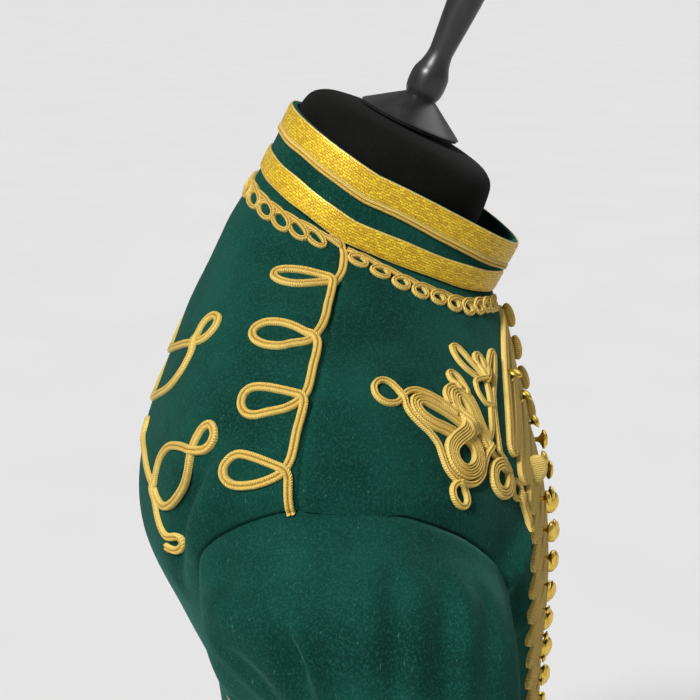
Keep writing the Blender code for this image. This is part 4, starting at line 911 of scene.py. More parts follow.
def border_dip(grid, left, right, reach):
    """A shallow dip of the cloth towards its sewn side borders."""
    steps = np.linalg.norm(np.diff(grid, axis=1), axis=2)
    from_left = np.concatenate((np.zeros((len(grid), 1)), np.cumsum(steps, axis=1)), axis=1)
    from_right = from_left[:, -1:] - from_left
    dip = np.zeros(grid.shape[:2])
    for used, distance in ((left, from_left), (right, from_right)):
        if used:
            dip += SEAM_DIP * np.exp(-((distance / reach) ** 2))
    return dip


def finish_skin(name, node, grid, normals, dip, wool, closed_round=False):
    """Moves a grid by its folds and seams, gives it a wall, and adds it. Returns the outer skin."""
    rows, columns = grid.shape[:2]
    shift = fold_shift(grid.reshape(-1, 3)).reshape(rows, columns) - dip
    outer = grid + normals * shift[..., None]
    inner = outer - normals * WALL
    points = np.concatenate((outer.reshape(-1, 3), inner.reshape(-1, 3)))
    item = make_mesh(name, points, shell_faces(rows, columns, closed_round), None, wool, node)
    return item, outer


def fine_table(table, steps):
    """Reads a table of edges at several places between its rows."""
    places = np.linspace(0.0, len(table) - 1, (len(table) - 1) * steps + 1)
    return [Edge(*blend_rows(table, place)) for place in places]


def fine_edges(armhole):
    """The side edge of a panel: the shoulder seam, the armhole and the side seam."""
    shoulder = fine_table(SHOULDER_EDGE + armhole[:1], PANEL_STEPS)
    curve = fine_table(armhole, PANEL_STEPS)
    side = fine_table(armhole[-1:] + SIDE_EDGE, PANEL_STEPS * 2)
    return shoulder + curve[1:] + side[1:]


def panel_skin(edges, columns, centre_angle, side):
    """Grid and normals of a panel, from its centre line to its side edge."""
    points = []
    normals = []
    for edge in edges:
        row = []
        line = []
        for j in range(columns + 1):
            part = 1.0 - (1.0 - j / columns) ** EDGE_GRADE
            angle = side * (centre_angle + (edge.angle - centre_angle) * part)
            ring = edge.centre_ring + (edge.ring - edge.centre_ring) * part
            row.append(body_point(angle, ring))
            line.append(body_normal(angle, ring))
        points.append(row)
        normals.append(line)
    return np.array(points), np.array(normals)


def show_body(wool):
    """The two fronts and the back. Returns their outer skins."""
    skins = []
    for word, side in (("right", ON_RIGHT), ("left", ON_LEFT)):
        grid, normals = panel_skin(fine_edges(FRONT_ARMHOLE), FRONT_COLUMNS * COLUMN_STEPS, 0.0, side)
        dip = border_dip(grid, False, True, SEAM_REACH)
        item, outer = finish_skin("seen_front_" + word, "front_" + word, grid, normals, dip, wool)
        skins.append(outer)
    grid, normals = panel_skin(fine_edges(BACK_ARMHOLE), BACK_COLUMNS * COLUMN_STEPS, 180.0, ON_RIGHT)
    dip = border_dip(grid, False, True, SEAM_REACH)
    whole = np.concatenate((grid[:, ::-1], grid[:, 1:] * MIRROR), axis=1)
    whole_normals = np.concatenate((normals[:, ::-1], normals[:, 1:] * MIRROR), axis=1)
    whole_dip = np.concatenate((dip[:, ::-1], dip[:, 1:]), axis=1)
    item, outer = finish_skin("seen_back", "back", whole, whole_normals, whole_dip, wool)
    skins.append(outer)
    return skins


def fine_sleeve_column(first, leave, turn):
    """One line down the sleeve, from the armhole to the cuff."""
    stops = [first] + [sleeve_ring_point(row, turn) for row in SLEEVE_RINGS]
    reach = np.linalg.norm(stops[1] - stops[0])
    slopes = [leave * reach * HEAD_LEAVE]
    for i in range(1, len(stops) - 1):
        slopes.append((stops[i + 1] - stops[i - 1]) * 0.5)
    slopes.append(stops[-1] - stops[-2])
    column = []
    for i in range(len(stops) - 1):
        steps = SLEEVE_HEAD_ROWS if i == 0 else (SLEEVE_ARM_ROWS if i < ARM_RINGS else SLEEVE_LOW_ROWS)
        for step in range(steps):
            part = (step / steps) ** (EDGE_GRADE if i == 0 else 1.0)
            column.append(hermite(stops[i], stops[i + 1], slopes[i], slopes[i + 1], part))
    column.append(stops[-1])
    return column


def fine_sleeve_grid():
    """Columns go round from the shoulder over the front, and rows go down to the cuff."""
    front = [(edge.angle, edge.ring) for edge in fine_table(FRONT_ARMHOLE, SLEEVE_TURN_STEPS)]
    back = [(edge.angle, edge.ring) for edge in fine_table(BACK_ARMHOLE, SLEEVE_TURN_STEPS)]
    places = front + list(reversed(back[1:-1]))
    start = [body_point(*place) for place in places]
    normals = [body_normal(*place) for place in places]
    count = len(start)
    turns = armhole_turns(start, len(front) - 1)
    middle = sum(start) / count
    columns = []
    for i in range(count):
        along = unit(start[(i + 1) % count] - start[i - 1])
        away = unit(np.cross(along, normals[i]))
        if np.dot(away, middle - start[i]) < 0.0:
            away = -away
        under = (1.0 - math.cos(math.radians(turns[i]))) / 2.0
        lift = HEAD_LIFT + (1.0 - HEAD_LIFT) * under
        leave = unit(away * (1.0 - lift) + normals[i] * lift)
        first = start[i] - away * HEAD_TUCK - normals[i] * HEAD_TUCK
        columns.append(fine_sleeve_column(first, leave, turns[i]))
    return np.array(columns).transpose(1, 0, 2)


def show_sleeves(wool):
    right = fine_sleeve_grid()
    count = right.shape[1]
    back_start = count - TOP_SLEEVE_BACK * SLEEVE_TURN_STEPS
    front_end = TOP_SLEEVE_FRONT * SLEEVE_TURN_STEPS
    top = [j % count for j in range(back_start, count + front_end + 1)]
    under = list(range(front_end, back_start + 1))
    for word, side in (("right", ON_RIGHT), ("left", ON_LEFT)):
        grid = right * np.array((side, 1.0, 1.0))
        normals = skin_normals(grid, True)
        ring = grid[SLEEVE_TEST_ROW]
        if np.dot(normals[SLEEVE_TEST_ROW, 0], ring[0] - ring.mean(axis=0)) < 0.0:
            normals = -normals
        falls = np.linalg.norm(np.diff(grid, axis=0), axis=2)
        from_top = np.concatenate((np.zeros((1, count)), np.cumsum(falls, axis=0)), axis=0)
        roll = SEAM_DIP * np.exp(-((from_top / SLEEVE_SEAM_REACH) ** 2))
        roll = roll - HEAD_ROLL * np.exp(-(((from_top - HEAD_ROLL_PLACE) / HEAD_ROLL_WIDTH) ** 2))
        for name, chosen, cut in (("top_sleeve_", top, TOP_CUT), ("under_sleeve_", under, UNDER_CUT)):
            part = grid[:, chosen]
            dip = roll[:, chosen] + border_dip(part, True, True, SLEEVE_SEAM_REACH)
            item, _ = finish_skin("seen_" + name + word, name + word, part, normals[:, chosen], dip, wool)


class Skin:
    """Finds the cloth's outer skin under any place of the body."""

    def __init__(self, skins):
        self.trees = []
        for skin in skins:
            rows, columns = skin.shape[:2]
            points = [tuple(p) for p in world(skin).reshape(-1, 3)]
            faces = []
            for i in range(rows - 1):
                for j in range(columns - 1):
                    a = i * columns + j
                    faces.append((a, a + 1, a + columns + 1, a + columns))
            self.trees.append(BVHTree.FromPolygons(points, faces))

    def seat(self, angle, ring):
        return self.touch(body_point(angle, ring), body_normal(angle, ring))

    def touch(self, point, normal):
        """The place on the skin above or below a point, and the normal given."""
        start = world(point + normal * SKIN_REACH)
        heading = Vector((normal[0], normal[1], -normal[2]))
        best = None
        for tree in self.trees:
            hit, _, _, distance = tree.ray_cast(Vector(start), heading, SKIN_REACH * 2.0 * MM)
            if hit is not None and (best is None or distance < best):
                best = distance
        height = 0.0 if best is None else SKIN_REACH - best / MM
        return point + normal * height, normal


def section_of(strand):
    """Corners of a strand's section as the place across, the height, and the place within a cord."""
    half = strand.width / 2.0
    reach = strand.cords * half
    corners = [(-reach, -STRAND_SINK, -1.0)]
    for index in range(strand.cords):
        centre = -reach + half * (2 * index + 1)
        for place, share in CORD_OUTLINE:
            corners.append((centre + half * place, strand.height * share, place))
    corners.append((reach, -STRAND_SINK, 1.0))
    return corners


class Figure:
    """A piece of trim made of strips that are laid one after another, and rise over each other."""

    def __init__(self, skin):
        self.skin = skin
        self.points = []
        self.faces = []
        self.uvs = []
        self.laid = np.zeros((0, 3))
        self.laid_half = np.zeros(0)
        self.laid_top = np.zeros(0)

    def lay(self, places, strand, closed=False, crossing=True, lift=0.0):
        seats = [self.skin.seat(angle, ring) for angle, ring in places]
        return self.lay_seats(seats, strand, closed, crossing, lift)

    def lay_seats(self, seats, strand, closed, crossing, lift=0.0):
        """Sweeps the strand's section along seats on the cloth."""
        points = np.array([seat[0] for seat in seats])
        normals = np.array([seat[1] for seat in seats])
        width = strand.width * strand.cords
        count = len(points)
        _, crosses = path_frame(points, normals, closed)
        arc = run_lengths(points)
        total = arc[-1] + (np.linalg.norm(points[0] - points[-1]) if closed else 0.0)
        lifts = np.full(count, lift)
        if crossing:
            lifts = self.lifts(points, arc, total, width, strand.height, closed, lift)
        base = len(self.points)
        corners = section_of(strand)
        for i in range(count):
            for x, y, place in corners:
                self.points.append(points[i] + crosses[i] * x + normals[i] * (y + lifts[i]))
                self.uvs.append((arc[i], place))
        sides = len(corners)
        spans = count if closed else count - 1
        for i in range(spans):
            j = (i + 1) % count
            for k in range(sides):
                m = (k + 1) % sides
                a, b = base + i * sides, base + j * sides
                self.faces.append((a + k, a + m, b + m, b + k))
        if not closed:
            tail = base + (count - 1) * sides
            self.faces.append(tuple(base + k for k in range(sides)))
            self.faces.append(tuple(tail + k for k in reversed(range(sides))))
        self.laid = np.concatenate((self.laid, points))
        self.laid_half = np.concatenate((self.laid_half, np.full(count, width / 2.0)))
        self.laid_top = np.concatenate((self.laid_top, lifts + strand.height))
        return self

    def lifts(self, points, arc, total, width, high, closed, lift):
        """Rises over what is laid already, and over the strip's own earlier part."""
        count = len(points)
        need = np.full(count, lift)
        for i in range(count):
            reach = self.laid_half + width / 2.0
            away = np.linalg.norm(self.laid - points[i], axis=1)
            if len(away):
                close = np.clip(CROSS_RAMP * (1.0 - away / reach), 0.0, 1.0)
                need[i] = max(need[i], (self.laid_top * close).max() * CROSS_SHARE)
            apart = arc[i] - arc[:i]
            if closed:
                apart = np.minimum(apart, total - apart)
            own = np.linalg.norm(points[:i] - points[i], axis=1)
            far = apart > OWN_APART * width
            if far.any():
                close = np.clip(CROSS_RAMP * (1.0 - own[far] / width), 0.0, 1.0)
                need[i] = max(need[i], ((need[:i][far] + high) * close).max() * CROSS_SHARE)
        for _ in range(CROSS_ROUNDS):
            if closed:
                before, after = np.roll(need, 1), np.roll(need, -1)
            else:
                before = np.concatenate((need[:1], need[:-1]))
                after = np.concatenate((need[1:], need[-1:]))
            need = before * 0.25 + need * 0.5 + after * 0.25
        return need

    def show(self, name, node, finish, slot_name="gold_braid"):
        return make_mesh(name, self.points, self.faces, self.uvs, finish, node, CORD_SHARP)


def mirrored(places):
    return [(-angle, ring) for angle, ring in places]


def show_pair(skin, braid, places, strand, name, node, crossing=True):
    """A cord on the wearer's right, and its mirror on the left."""
    for word, chosen in (("right", places), ("left", mirrored(places))):
        figure = Figure(skin).lay(chosen, strand, False, crossing)
        figure.show(name + word, node + word, braid)


def show_shoulders(skin, braid):
    places = seam_places(smooth_line(SHOULDER_ROUTE, False, CORD_STEP))
    show_pair(skin, braid, places, BRAID_STRAND, "seen_shoulder_", "shoulder_braid_")


def eye_run(eyes, start, end, run, share):
    """A cord that runs along the neck seam and turns back in a hanging loop at each eye."""
    spots = [NeckEye(start, eyes[0].drop), *eyes, NeckEye(end, eyes[-1].drop)]
    line = []
    for index in range(1, len(spots) - 1):
        eye = spots[index]
        low = (spots[index - 1].angle + eye.angle) / 2.0
        high = (spots[index + 1].angle + eye.angle) / 2.0
        swing = abs(high - low) * share
        if high < low:
            swing = -swing
        for i in range(EYE_POINTS):
            part = i / EYE_POINTS
            turn = 2.0 * math.pi * part
            angle = low + (high - low) * part + swing * math.sin(turn)
            before = spots[index - 1].drop if part < 0.5 else spots[index + 1].drop
            drop = eye.drop + (before - eye.drop) * abs(part - 0.5)
            line.append((angle, drop - run * math.cos(turn)))
    return line


def show_eyes(skin, braid):
    back = SEEN_BACK_EYES + [NeckEye(360.0 - eye.angle, eye.drop) for eye in reversed(SEEN_BACK_EYES)]
    start, end = back[0].angle - BACK_EYE_END, back[-1].angle + BACK_EYE_END
    line = eye_run(back, start, end, BACK_EYE_RUN, BACK_EYE_SWING)
    tail = [(360.0 - angle, drop) for angle, drop in reversed(BACK_EYE_LEAD)]
    places = neck_places(list(BACK_EYE_LEAD) + line + tail)
    Figure(skin).lay(places, EYE_STRAND).show("seen_eyes_back", "collar_eyes_back", braid)
    start, end = SEEN_FRONT_EYES[0].angle + FRONT_EYE_START, SEEN_FRONT_EYES[-1].angle - FRONT_EYE_END
    places = neck_places(eye_run(SEEN_FRONT_EYES, start, end, EYE_RUN, EYE_SWING))
    show_pair(skin, braid, places, EYE_STRAND, "seen_eyes_", "collar_eyes_")


def show_back_figures(skin, braid):
    right = elevation_places(smooth_line(UPPER_ROUTE, False, CORD_STEP), UPPER_START)
    left = [(360.0 - angle, ring) for angle, ring in reversed(right)]
    Figure(skin).lay(right + left, BRAID_STRAND, True).show("seen_back_upper", "back_figure_upper", braid)
    line = elevation_places(smooth_line(LOWER_ROUTE, False, CORD_STEP), LOWER_START)
    show_pair(skin, braid, line, BRAID_STRAND, "seen_back_lower_", "back_figure_lower_")


def show_rear_seams(skin, braid):
    line = [(REAR_SEAM_ANGLE, ring) for ring in np.linspace(*REAR_SEAM_RINGS, REAR_SEAM_POINTS)]
    show_pair(skin, braid, line, BRAID_STRAND, "seen_rear_seam_", "rear_seam_braid_", False)


def show_knots(skin, braid):
    for name, place, strands in (
        ("outer", OUTER_KNOT_PLACE, OUTER_KNOT_STRANDS),
        ("inner", INNER_KNOT_PLACE, INNER_KNOT_STRANDS),
    ):
        for word, side in (("right", ON_RIGHT), ("left", ON_LEFT)):
            patch = Patch(side * place[0], place[1])
            figure = Figure(skin)
            for laid in strands:
                closed = laid.path[0] == laid.path[-1]
                stops = [(side * across, up) for across, up in (laid.path[:-1] if closed else laid.path)]
                line = smooth_line(stops, closed, CORD_STEP)
                figure.lay(patch.places(line), laid.strand, closed, True, laid.lift)
            figure.show("seen_knot_" + name + "_" + word, "chest_knot_" + name + "_" + word, braid)


def turned_points(profile, origin, axis, side, sides):
    """A turned shape as points and faces. Its first and last points lie on the axis."""
    other = np.cross(axis, side)
    points = [origin + axis * profile[0].height]
    for spot in profile[1:-1]:
        for k in range(sides):
            turn = 2.0 * math.pi * k / sides
            spoke = side * math.cos(turn) + other * math.sin(turn)
            points.append(origin + axis * spot.height + spoke * spot.radius)
    points.append(origin + axis * profile[-1].height)
    faces = []
    rings = len(profile) - 2
    for j in range(sides):
        k = (j + 1) % sides
        faces.append((0, 1 + j, 1 + k))
        for i in range(rings - 1):
            a, b = 1 + i * sides, 1 + (i + 1) * sides
            faces.append((a + j, b + j, b + k, a + k))
        tail = 1 + (rings - 1) * sides
        faces.append((tail + j, len(points) - 1, tail + k))
    return points, faces


def row_loop(skin, seats, outs, offset):
    """Seats of a cord that runs along a row at one side of its middle and back at the other.

    The two sides part a little round the side buttons.
    """
    points = np.array([seat[0] for seat in seats])
    normals = np.array([seat[1] for seat in seats])
    headings, crosses = path_frame(points, normals, False)
    part = np.concatenate((outs[::-1], outs)) / outs[-1]
    aside = (offset + ROW_SLIT * np.sin(math.pi * np.clip(part, 0.0, 1.0)) ** ROW_SWELL)[:, None]
    loop = [(points[i] + crosses[i] * aside[i], normals[i]) for i in range(len(points))]
    for turn in range(1, ROW_END_TURNS):
        angle = math.pi * turn / ROW_END_TURNS
        reach = crosses[-1] * math.cos(angle) + headings[-1] * math.sin(angle)
        loop.append((points[-1] + reach * offset, normals[-1]))
    loop += [(points[i] - crosses[i] * aside[i], normals[i]) for i in reversed(range(len(points)))]
    for turn in range(1, ROW_END_TURNS):
        angle = math.pi * turn / ROW_END_TURNS
        reach = -crosses[0] * math.cos(angle) - headings[0] * math.sin(angle)
        loop.append((points[0] + reach * offset, normals[0]))
    return [skin.touch(*seat) for seat in loop]


def grooved(points, origin, axis, side):
    """Presses shallow grooves along a turned shape."""
    other = np.cross(axis, side)
    pressed = []
    for point in points:
        spoke = point - origin - axis * np.dot(point - origin, axis)
        turn = math.atan2(np.dot(spoke, other), np.dot(spoke, side))
        pressed.append(point - spoke * GROOVE_DEPTH * (0.5 + 0.5 * math.cos(OLIVET_GROOVES * turn)))
    return pressed


def join(points, faces, made):
    """Adds a turned shape to a mesh that is being gathered."""
    start = len(points)
    points += made[0]
    faces += [tuple(start + k for k in face) for face in made[1]]


def button_shape(index, column, spot, seat, normal):
    """A domed button on its shank, a little askew. Those of the lower rows at the centre face more aside."""
    across = unit(np.cross(normal, UPRIGHT))
    upward = np.cross(across, normal)
    lean = BUTTON_LEAN * math.sin(index * 2.3 + column * 1.7)
    size = SIDE_BUTTON if spot else CENTRE_BUTTON
    if index > TURNED_ROW:
        size = LOW_SIDE_BUTTON if spot else TURNED_BUTTON
        lean += 0.0 if spot else TURNED_LEAN
    nod = BUTTON_NOD[0] + BUTTON_NOD[1] * math.sin(index * 1.1 + column * 2.9)
    nod += max(0.0, 1.0 - index / NOD_ROWS)
    axis = unit(normal + across * lean + upward * nod)
    origin = seat + normal * (ROW_STRAND.height - BUTTON_SINK)
    spoke = unit(across - axis * np.dot(across, axis))
    profile = [SeenPoint(point.radius * size, point.height * size) for point in SEEN_BUTTON]
    return turned_points(profile, origin, axis, spoke, BUTTON_SIDES)


def figure_shape(figure, spot, seat, normal):
    """The cord-covered olivet at the centre of a row, or the pad at its side, as part of the braid."""
    if spot == 0.0:
        origin = seat + normal * OLIVET_HEIGHT
        axis = np.cross(unit(np.cross(normal, UPRIGHT)), normal)
        made, faces = turned_points(SEEN_OLIVET, origin, axis, normal, OLIVET_SIDES)
        shade = OLIVET_SHADE
        shown = grooved(made, origin, axis, normal)
    else:
        axis = unit(normal + np.array((math.copysign(PAD_TURN, spot), 0.0, 0.0)))
        origin = seat + normal * ROW_STRAND.height
        made, faces = turned_points(SEEN_PAD, origin, axis, unit(np.cross(axis, UPRIGHT)), PAD_SIDES)
        shade = PAD_HIGHLIGHT_PLACE
        shown = made
    # The place across the cord chooses the paint: the pad's place gives it the painted highlight all over
    figure.uvs += [(point[2], shade) for point in made]
    join(figure.points, figure.faces, (shown, faces))


def show_rows(skin, braid, brass):
    for index, row in enumerate(ROWS):
        number = "%02d" % (index + 1)
        centre_up = ROW_TOP - ROW_PITCH * index
        outs = np.linspace(ROW_START, row.end - ROW_WIDTH / 2.0, int(row.end / ROW_STEP))
        line = [(out, centre_up - row.droop * (out / row.end) ** ROW_BEND) for out in outs]
        ring = float(np.interp(-centre_up, [-r.front_up for r in BODY_RINGS], range(len(BODY_RINGS))))
        half = elevation_places(line, (1.0, ring))
        seats = [skin.seat(*place) for place in mirrored(half)[::-1] + half]
        figure = Figure(skin)
        for offset in (1.5 * ROW_APART, 0.5 * ROW_APART):
            figure.lay_seats(row_loop(skin, seats, outs, offset), ROW_STRAND, True, False)
        points = []
        faces = []
        inner = SEEN_INNER_BUTTONS[min(index, len(SEEN_INNER_BUTTONS) - 1)]
        outer = OUTER_BUTTONS * row.end
        spots = (0.0, inner, -inner) + ((outer, -outer) if index >= OUTER_BUTTON_ROW else ())
        for column, spot in enumerate(spots):
            place = half[int(np.argmin(np.abs(outs - abs(spot))))] if spot else (0.0, half[0][1])
            seat, normal = skin.seat(*place)
            if spot < 0.0:
                seat, normal = seat * MIRROR, normal * MIRROR
            if (spot == 0.0 and index < OLIVET_ROWS) or (index == PAD_ROW and abs(spot) == outer):
                figure_shape(figure, spot, seat, normal)
            else:
                join(points, faces, button_shape(index, column, spot, seat, normal))
        figure.show("seen_row_" + number, "front_row_" + number, braid)
        make_mesh("seen_buttons_" + number, points, faces, None, brass, None, TURNED_SHARP)


def lace_band(name, node, low, high, inner, outer, finish, slot_name, steps):
    """A band round the collar between two heights, with softly rounded long edges."""
    rows, columns, round_edge = steps
    angles = np.linspace(COLLAR_OPEN, 360.0 - COLLAR_OPEN, columns + 1)
    arc = run_lengths([body_point(angle, 0.0) for angle in angles])
    outer_points = []
    inner_points = []
    uvs = []
    for i in range(rows + 1):
        part = i / rows
        edge = min(part, 1.0 - part) * 2.0
        puff = 1.0 - round_edge * (1.0 - min(edge * LACE_PUFF, 1.0)) ** 2
        if slot_name == "gold_braid":
            puff = 1.0 - LINE_PUFF + LINE_PUFF * abs(math.sin(2.0 * math.pi * part))
        for j, angle in enumerate(angles):
            rise = high(angle) + (low(angle) - high(angle)) * part
            outer_points.append(collar_point(angle, rise, inner + (outer - inner) * puff))
            inner_points.append(collar_point(angle, rise, inner))
            uvs.append((arc[j], 2.0 * part - 1.0))
    points = outer_points + inner_points
    faces = shell_faces(rows + 1, columns + 1)
    return make_mesh(name, points, faces, uvs + uvs, finish, node, TURNED_SHARP)


def bottom_foot(angle):
    return LACE_FOOT + lace_wave(angle)


def bottom_brim(angle):
    return LACE_FOOT + LACE_WIDTH + lace_wave(angle + 40.0)


def top_foot(angle):
    """Where the lace along the top edge ends below."""
    return collar_height(angle) - LACE_WIDTH + lace_wave(angle + 90.0)


def top_brim(angle):
    return collar_height(angle) + LACE_GAP


def line_foot(angle):
    return top_foot(angle) - LINE_WIDTH - LINE_GAP


def line_brim(angle):
    return top_foot(angle) - LINE_GAP


def collar_foot(angle):
    return SEAM


def show_collar(wool, lace, braid):
    item = lace_band(
        "seen_collar", "collar", collar_foot, collar_height, -COLLAR_THICK, 0.0,
        wool, "green_wool", COLLAR_STEPS,
    )
    proud = SEAM + LACE_THICK
    for word, foot, brim in (("bottom", bottom_foot, bottom_brim), ("top", top_foot, top_brim)):
        lace_band(
            "seen_lace_" + word, "collar_lace_" + word, foot, brim, LACE_GAP, proud,
            lace, "gold_lace", LACE_STEPS,
        )
    proud = SEAM + LINE_THICK
    lace_band(
        "seen_braid_line", "collar_braid_line", line_foot, line_brim, LACE_GAP, proud,
        braid, "gold_braid", LINE_STEPS,
    )


def lace_wave(angle):
    """A slight unevenness of the sewn laces."""
    return 0.22 * math.sin(math.radians(angle * 7.0)) + 0.16 * math.sin(math.radians(angle * 13.0 + 50.0))


def show_form(jersey, wood):
    columns = FORM_COLUMNS
    angles = [360.0 * j / columns for j in range(columns)]
    base = CAP_PROFILE[-1].height - SEAM
    stops = [[neck_point(base + spot.height, spot.radius, angle) for angle in angles] for spot in TORSO_NECK]
    stops += [[ring_point(row, angle) for angle in angles] for row in form_rings()]
    flat = np.array(stops).reshape(len(stops), -1)
    places = np.linspace(0.0, len(stops) - 1, (len(stops) - 1) * FORM_STEPS + 1)
    grid = np.array([blend_rows(flat, place).reshape(-1, 3) for place in places])
    grid[:, :, 2] = np.maximum(grid[:, :, 2], 0.0)
    faces = []
    for i in range(len(grid) - 1):
        for j in range(columns):
            k = (j + 1) % columns
            faces.append((i * columns + j, i * columns + k, (i + 1) * columns + k, (i + 1) * columns + j))
    faces.append(tuple(range(columns)))
    last = (len(grid) - 1) * columns
    faces.append(tuple(last + j for j in reversed(range(columns))))
    torso = grid.reshape(-1, 3)
    make_mesh("seen_form_torso", torso, faces, None, jersey, "form_torso", TURNED_SHARP)
    forward = np.array((0.0, 1.0, 0.0))
    for name, node, profile, lean, finish, slot_name, rounds in (
        ("seen_neck_cap", "form_neck_cap", CAP_PROFILE, CAP_LEAN, jersey, "black_jersey", 5),
        ("seen_finial", "form_finial", FINIAL_PROFILE, FINIAL_LEAN, wood, "black_wood", 4),
    ):
        axis = np.array((0.0, math.sin(math.radians(lean)), math.cos(math.radians(lean))))
        spoke = unit(forward - axis * np.dot(forward, axis))
        fine = smooth_profile(profile, rounds)
        points, faces = turned_points(fine, np.array(CAP_TOP), axis, spoke, TURNED_SIDES)
        make_mesh(name, points, faces, None, finish, node, TURNED_SHARP)


def smooth_profile(profile, steps):
    """More points between those of a profile. A sharp corner keeps its corner."""
    fine = [SeenPoint(*profile[0])]
    for i in range(len(profile) - 1):
        start, end = np.array(profile[i]), np.array(profile[i + 1])
        before = np.array(profile[max(i - 1, 0)])
        after = np.array(profile[min(i + 2, len(profile) - 1)])
        slope_in = (end - before) * 0.5 if i else (end - start)
        slope_out = (after - start) * 0.5 if i + 2 < len(profile) else (end - start)
        turn_in = abs(turn_between(start - before, end - start)) if i else 90.0
        turn_out = abs(turn_between(end - start, after - end)) if i + 2 < len(profile) else 90.0
        if turn_in > CORNER_TURN:
            slope_in = end - start
        if turn_out > CORNER_TURN:
            slope_out = end - start
        for k in range(1, steps + 1):
            point = hermite(start, end, slope_in, slope_out, k / steps)
            fine.append(SeenPoint(max(float(point[0]), 0.0), float(point[1])))
    return fine


def turn_between(first, second):
    """The turn from one flat direction to another, in degrees."""
    first = math.atan2(first[1], first[0])
    second = math.atan2(second[1], second[0])
    return math.degrees((second - first + math.pi) % (2.0 * math.pi) - math.pi)


class Nodes:
    """A short way to build a material's nodes."""

    def __init__(self, name, roughness, metallic=0.0, specular=0.5):
        self.material = bpy.data.materials.new(name)
        self.material.use_nodes = True
        self.tree = self.material.node_tree
        self.shader = self.tree.nodes["Principled BSDF"]
        self.shader.inputs["Roughness"].default_value = roughness
        self.shader.inputs["Metallic"].default_value = metallic
        self.shader.inputs["Specular IOR Level"].default_value = specular

    def feed(self, socket, value):
        if isinstance(value, bpy.types.NodeSocket):
            self.tree.links.new(value, socket)
        else:
            socket.default_value = value

    def math(self, operation, first, second=0.0):
        node = self.tree.nodes.new("ShaderNodeMath")
        node.operation = operation
        self.feed(node.inputs[0], first)
        self.feed(node.inputs[1], second)
        return node.outputs[0]

    def times(self, first, second):
        return self.math("MULTIPLY", first, second)

    def plus(self, first, second):
        return self.math("ADD", first, second)

    def noise(self, scale, detail=3.0, stretch=None):
        """Even noise, or noise drawn out by a scale on each axis after a turn."""
        place = self.tree.nodes.new("ShaderNodeTexCoord").outputs["Object"]
        if stretch is not None:
            mapping = self.tree.nodes.new("ShaderNodeMapping")
            mapping.inputs["Scale"].default_value = stretch[0]
            mapping.inputs["Rotation"].default_value = stretch[1]
            self.feed(mapping.inputs["Vector"], place)
            place = mapping.outputs["Vector"]
        node = self.tree.nodes.new("ShaderNodeTexNoise")
        self.feed(node.inputs["Vector"], place)
        node.inputs["Scale"].default_value = scale
        node.inputs["Detail"].default_value = detail
        return node.outputs["Fac"]

    def thread(self):
        """Distance along a strip and across it, in millimetres."""
        uv = self.tree.nodes.new("ShaderNodeUVMap")
        uv.uv_map = "thread"
        split = self.tree.nodes.new("ShaderNodeSeparateXYZ")
        self.feed(split.inputs[0], uv.outputs["UV"])
        return split.outputs["X"], split.outputs["Y"]

    def weave(self, along, across, length, height):
        """Short floats in rows, each row set off by half a float: bright on a float, dark in the gaps, which
        the lace uses as its bump and as painted shade.
        """
        place = self.tree.nodes.new("ShaderNodeCombineXYZ")
        self.feed(place.inputs["X"], along)
        self.feed(place.inputs["Y"], across)
        node = self.tree.nodes.new("ShaderNodeTexBrick")
        self.feed(node.inputs["Vector"], place.outputs[0])
        node.inputs["Color1"].default_value = (1.0, 1.0, 1.0, 1.0)
        node.inputs["Color2"].default_value = (0.40, 0.40, 0.40, 1.0)
        node.inputs["Mortar"].default_value = (0.0, 0.0, 0.0, 1.0)
        node.inputs["Scale"].default_value = 1.0
        node.inputs["Mortar Size"].default_value = 0.26
        node.inputs["Mortar Smooth"].default_value = 0.9
        node.inputs["Brick Width"].default_value = length
        node.inputs["Row Height"].default_value = height
        return node.outputs["Color"]

    def ramp(self, value, low, high):
        """Spreads the values between low and high over 0 to 1."""
        node = self.tree.nodes.new("ShaderNodeMapRange")
        self.feed(node.inputs["Value"], value)
        node.inputs["From Min"].default_value = low
        node.inputs["From Max"].default_value = high
        return node.outputs["Result"]

    def mix(self, share, first, second):
        node = self.tree.nodes.new("ShaderNodeMix")
        node.data_type = "RGBA"
        self.feed(node.inputs["Factor"], share)
        self.feed(node.inputs["A"], first if isinstance(first, bpy.types.NodeSocket) else (*first, 1.0))
        self.feed(node.inputs["B"], second if isinstance(second, bpy.types.NodeSocket) else (*second, 1.0))
        return node.outputs["Result"]

    def colour(self, value):
        self.feed(self.shader.inputs["Base Color"], value)

    def bump(self, height, distance, strength=1.0):
        node = self.tree.nodes.new("ShaderNodeBump")
        node.inputs["Strength"].default_value = strength
        node.inputs["Distance"].default_value = distance
        self.feed(node.inputs["Height"], height)
        self.feed(self.shader.inputs["Normal"], node.outputs["Normal"])


def wool_material():
    made = Nodes("wool_cloth", 0.92, 0.0, 0.03)
    cloud = made.ramp(made.noise(24.0, 7.0), 0.32, 0.68)
    nap = made.noise(850.0, 7.0)
    base = made.mix(cloud, WOOL_DARK, WOOL_LIGHT)
    base = made.mix(made.times(made.ramp(nap, 0.46, 0.72), 0.42), base, WOOL_NAP)
    for turn, scale in (((0.4, 0.3, 0.2), 1250.0), ((1.3, 0.9, 2.1), 1050.0), ((2.2, 0.2, 1.0), 1400.0)):
        lint = made.noise(scale, 1.0, ((1.0, 1.0, 0.09), turn))
        base = made.mix(made.times(made.ramp(lint, 0.745, 0.79), 0.24), base, WOOL_LINT)
    made.colour(base)
    made.shader.inputs["Sheen Weight"].default_value = 0.10
    made.shader.inputs["Sheen Roughness"].default_value = 0.45
    made.shader.inputs["Sheen Tint"].default_value = (0.25, 0.75, 0.62, 1.0)
    height = made.plus(made.times(nap, 0.6), made.times(made.noise(240.0, 4.0), 0.9))
    made.bump(height, 0.0007, 0.6)
    return made.material


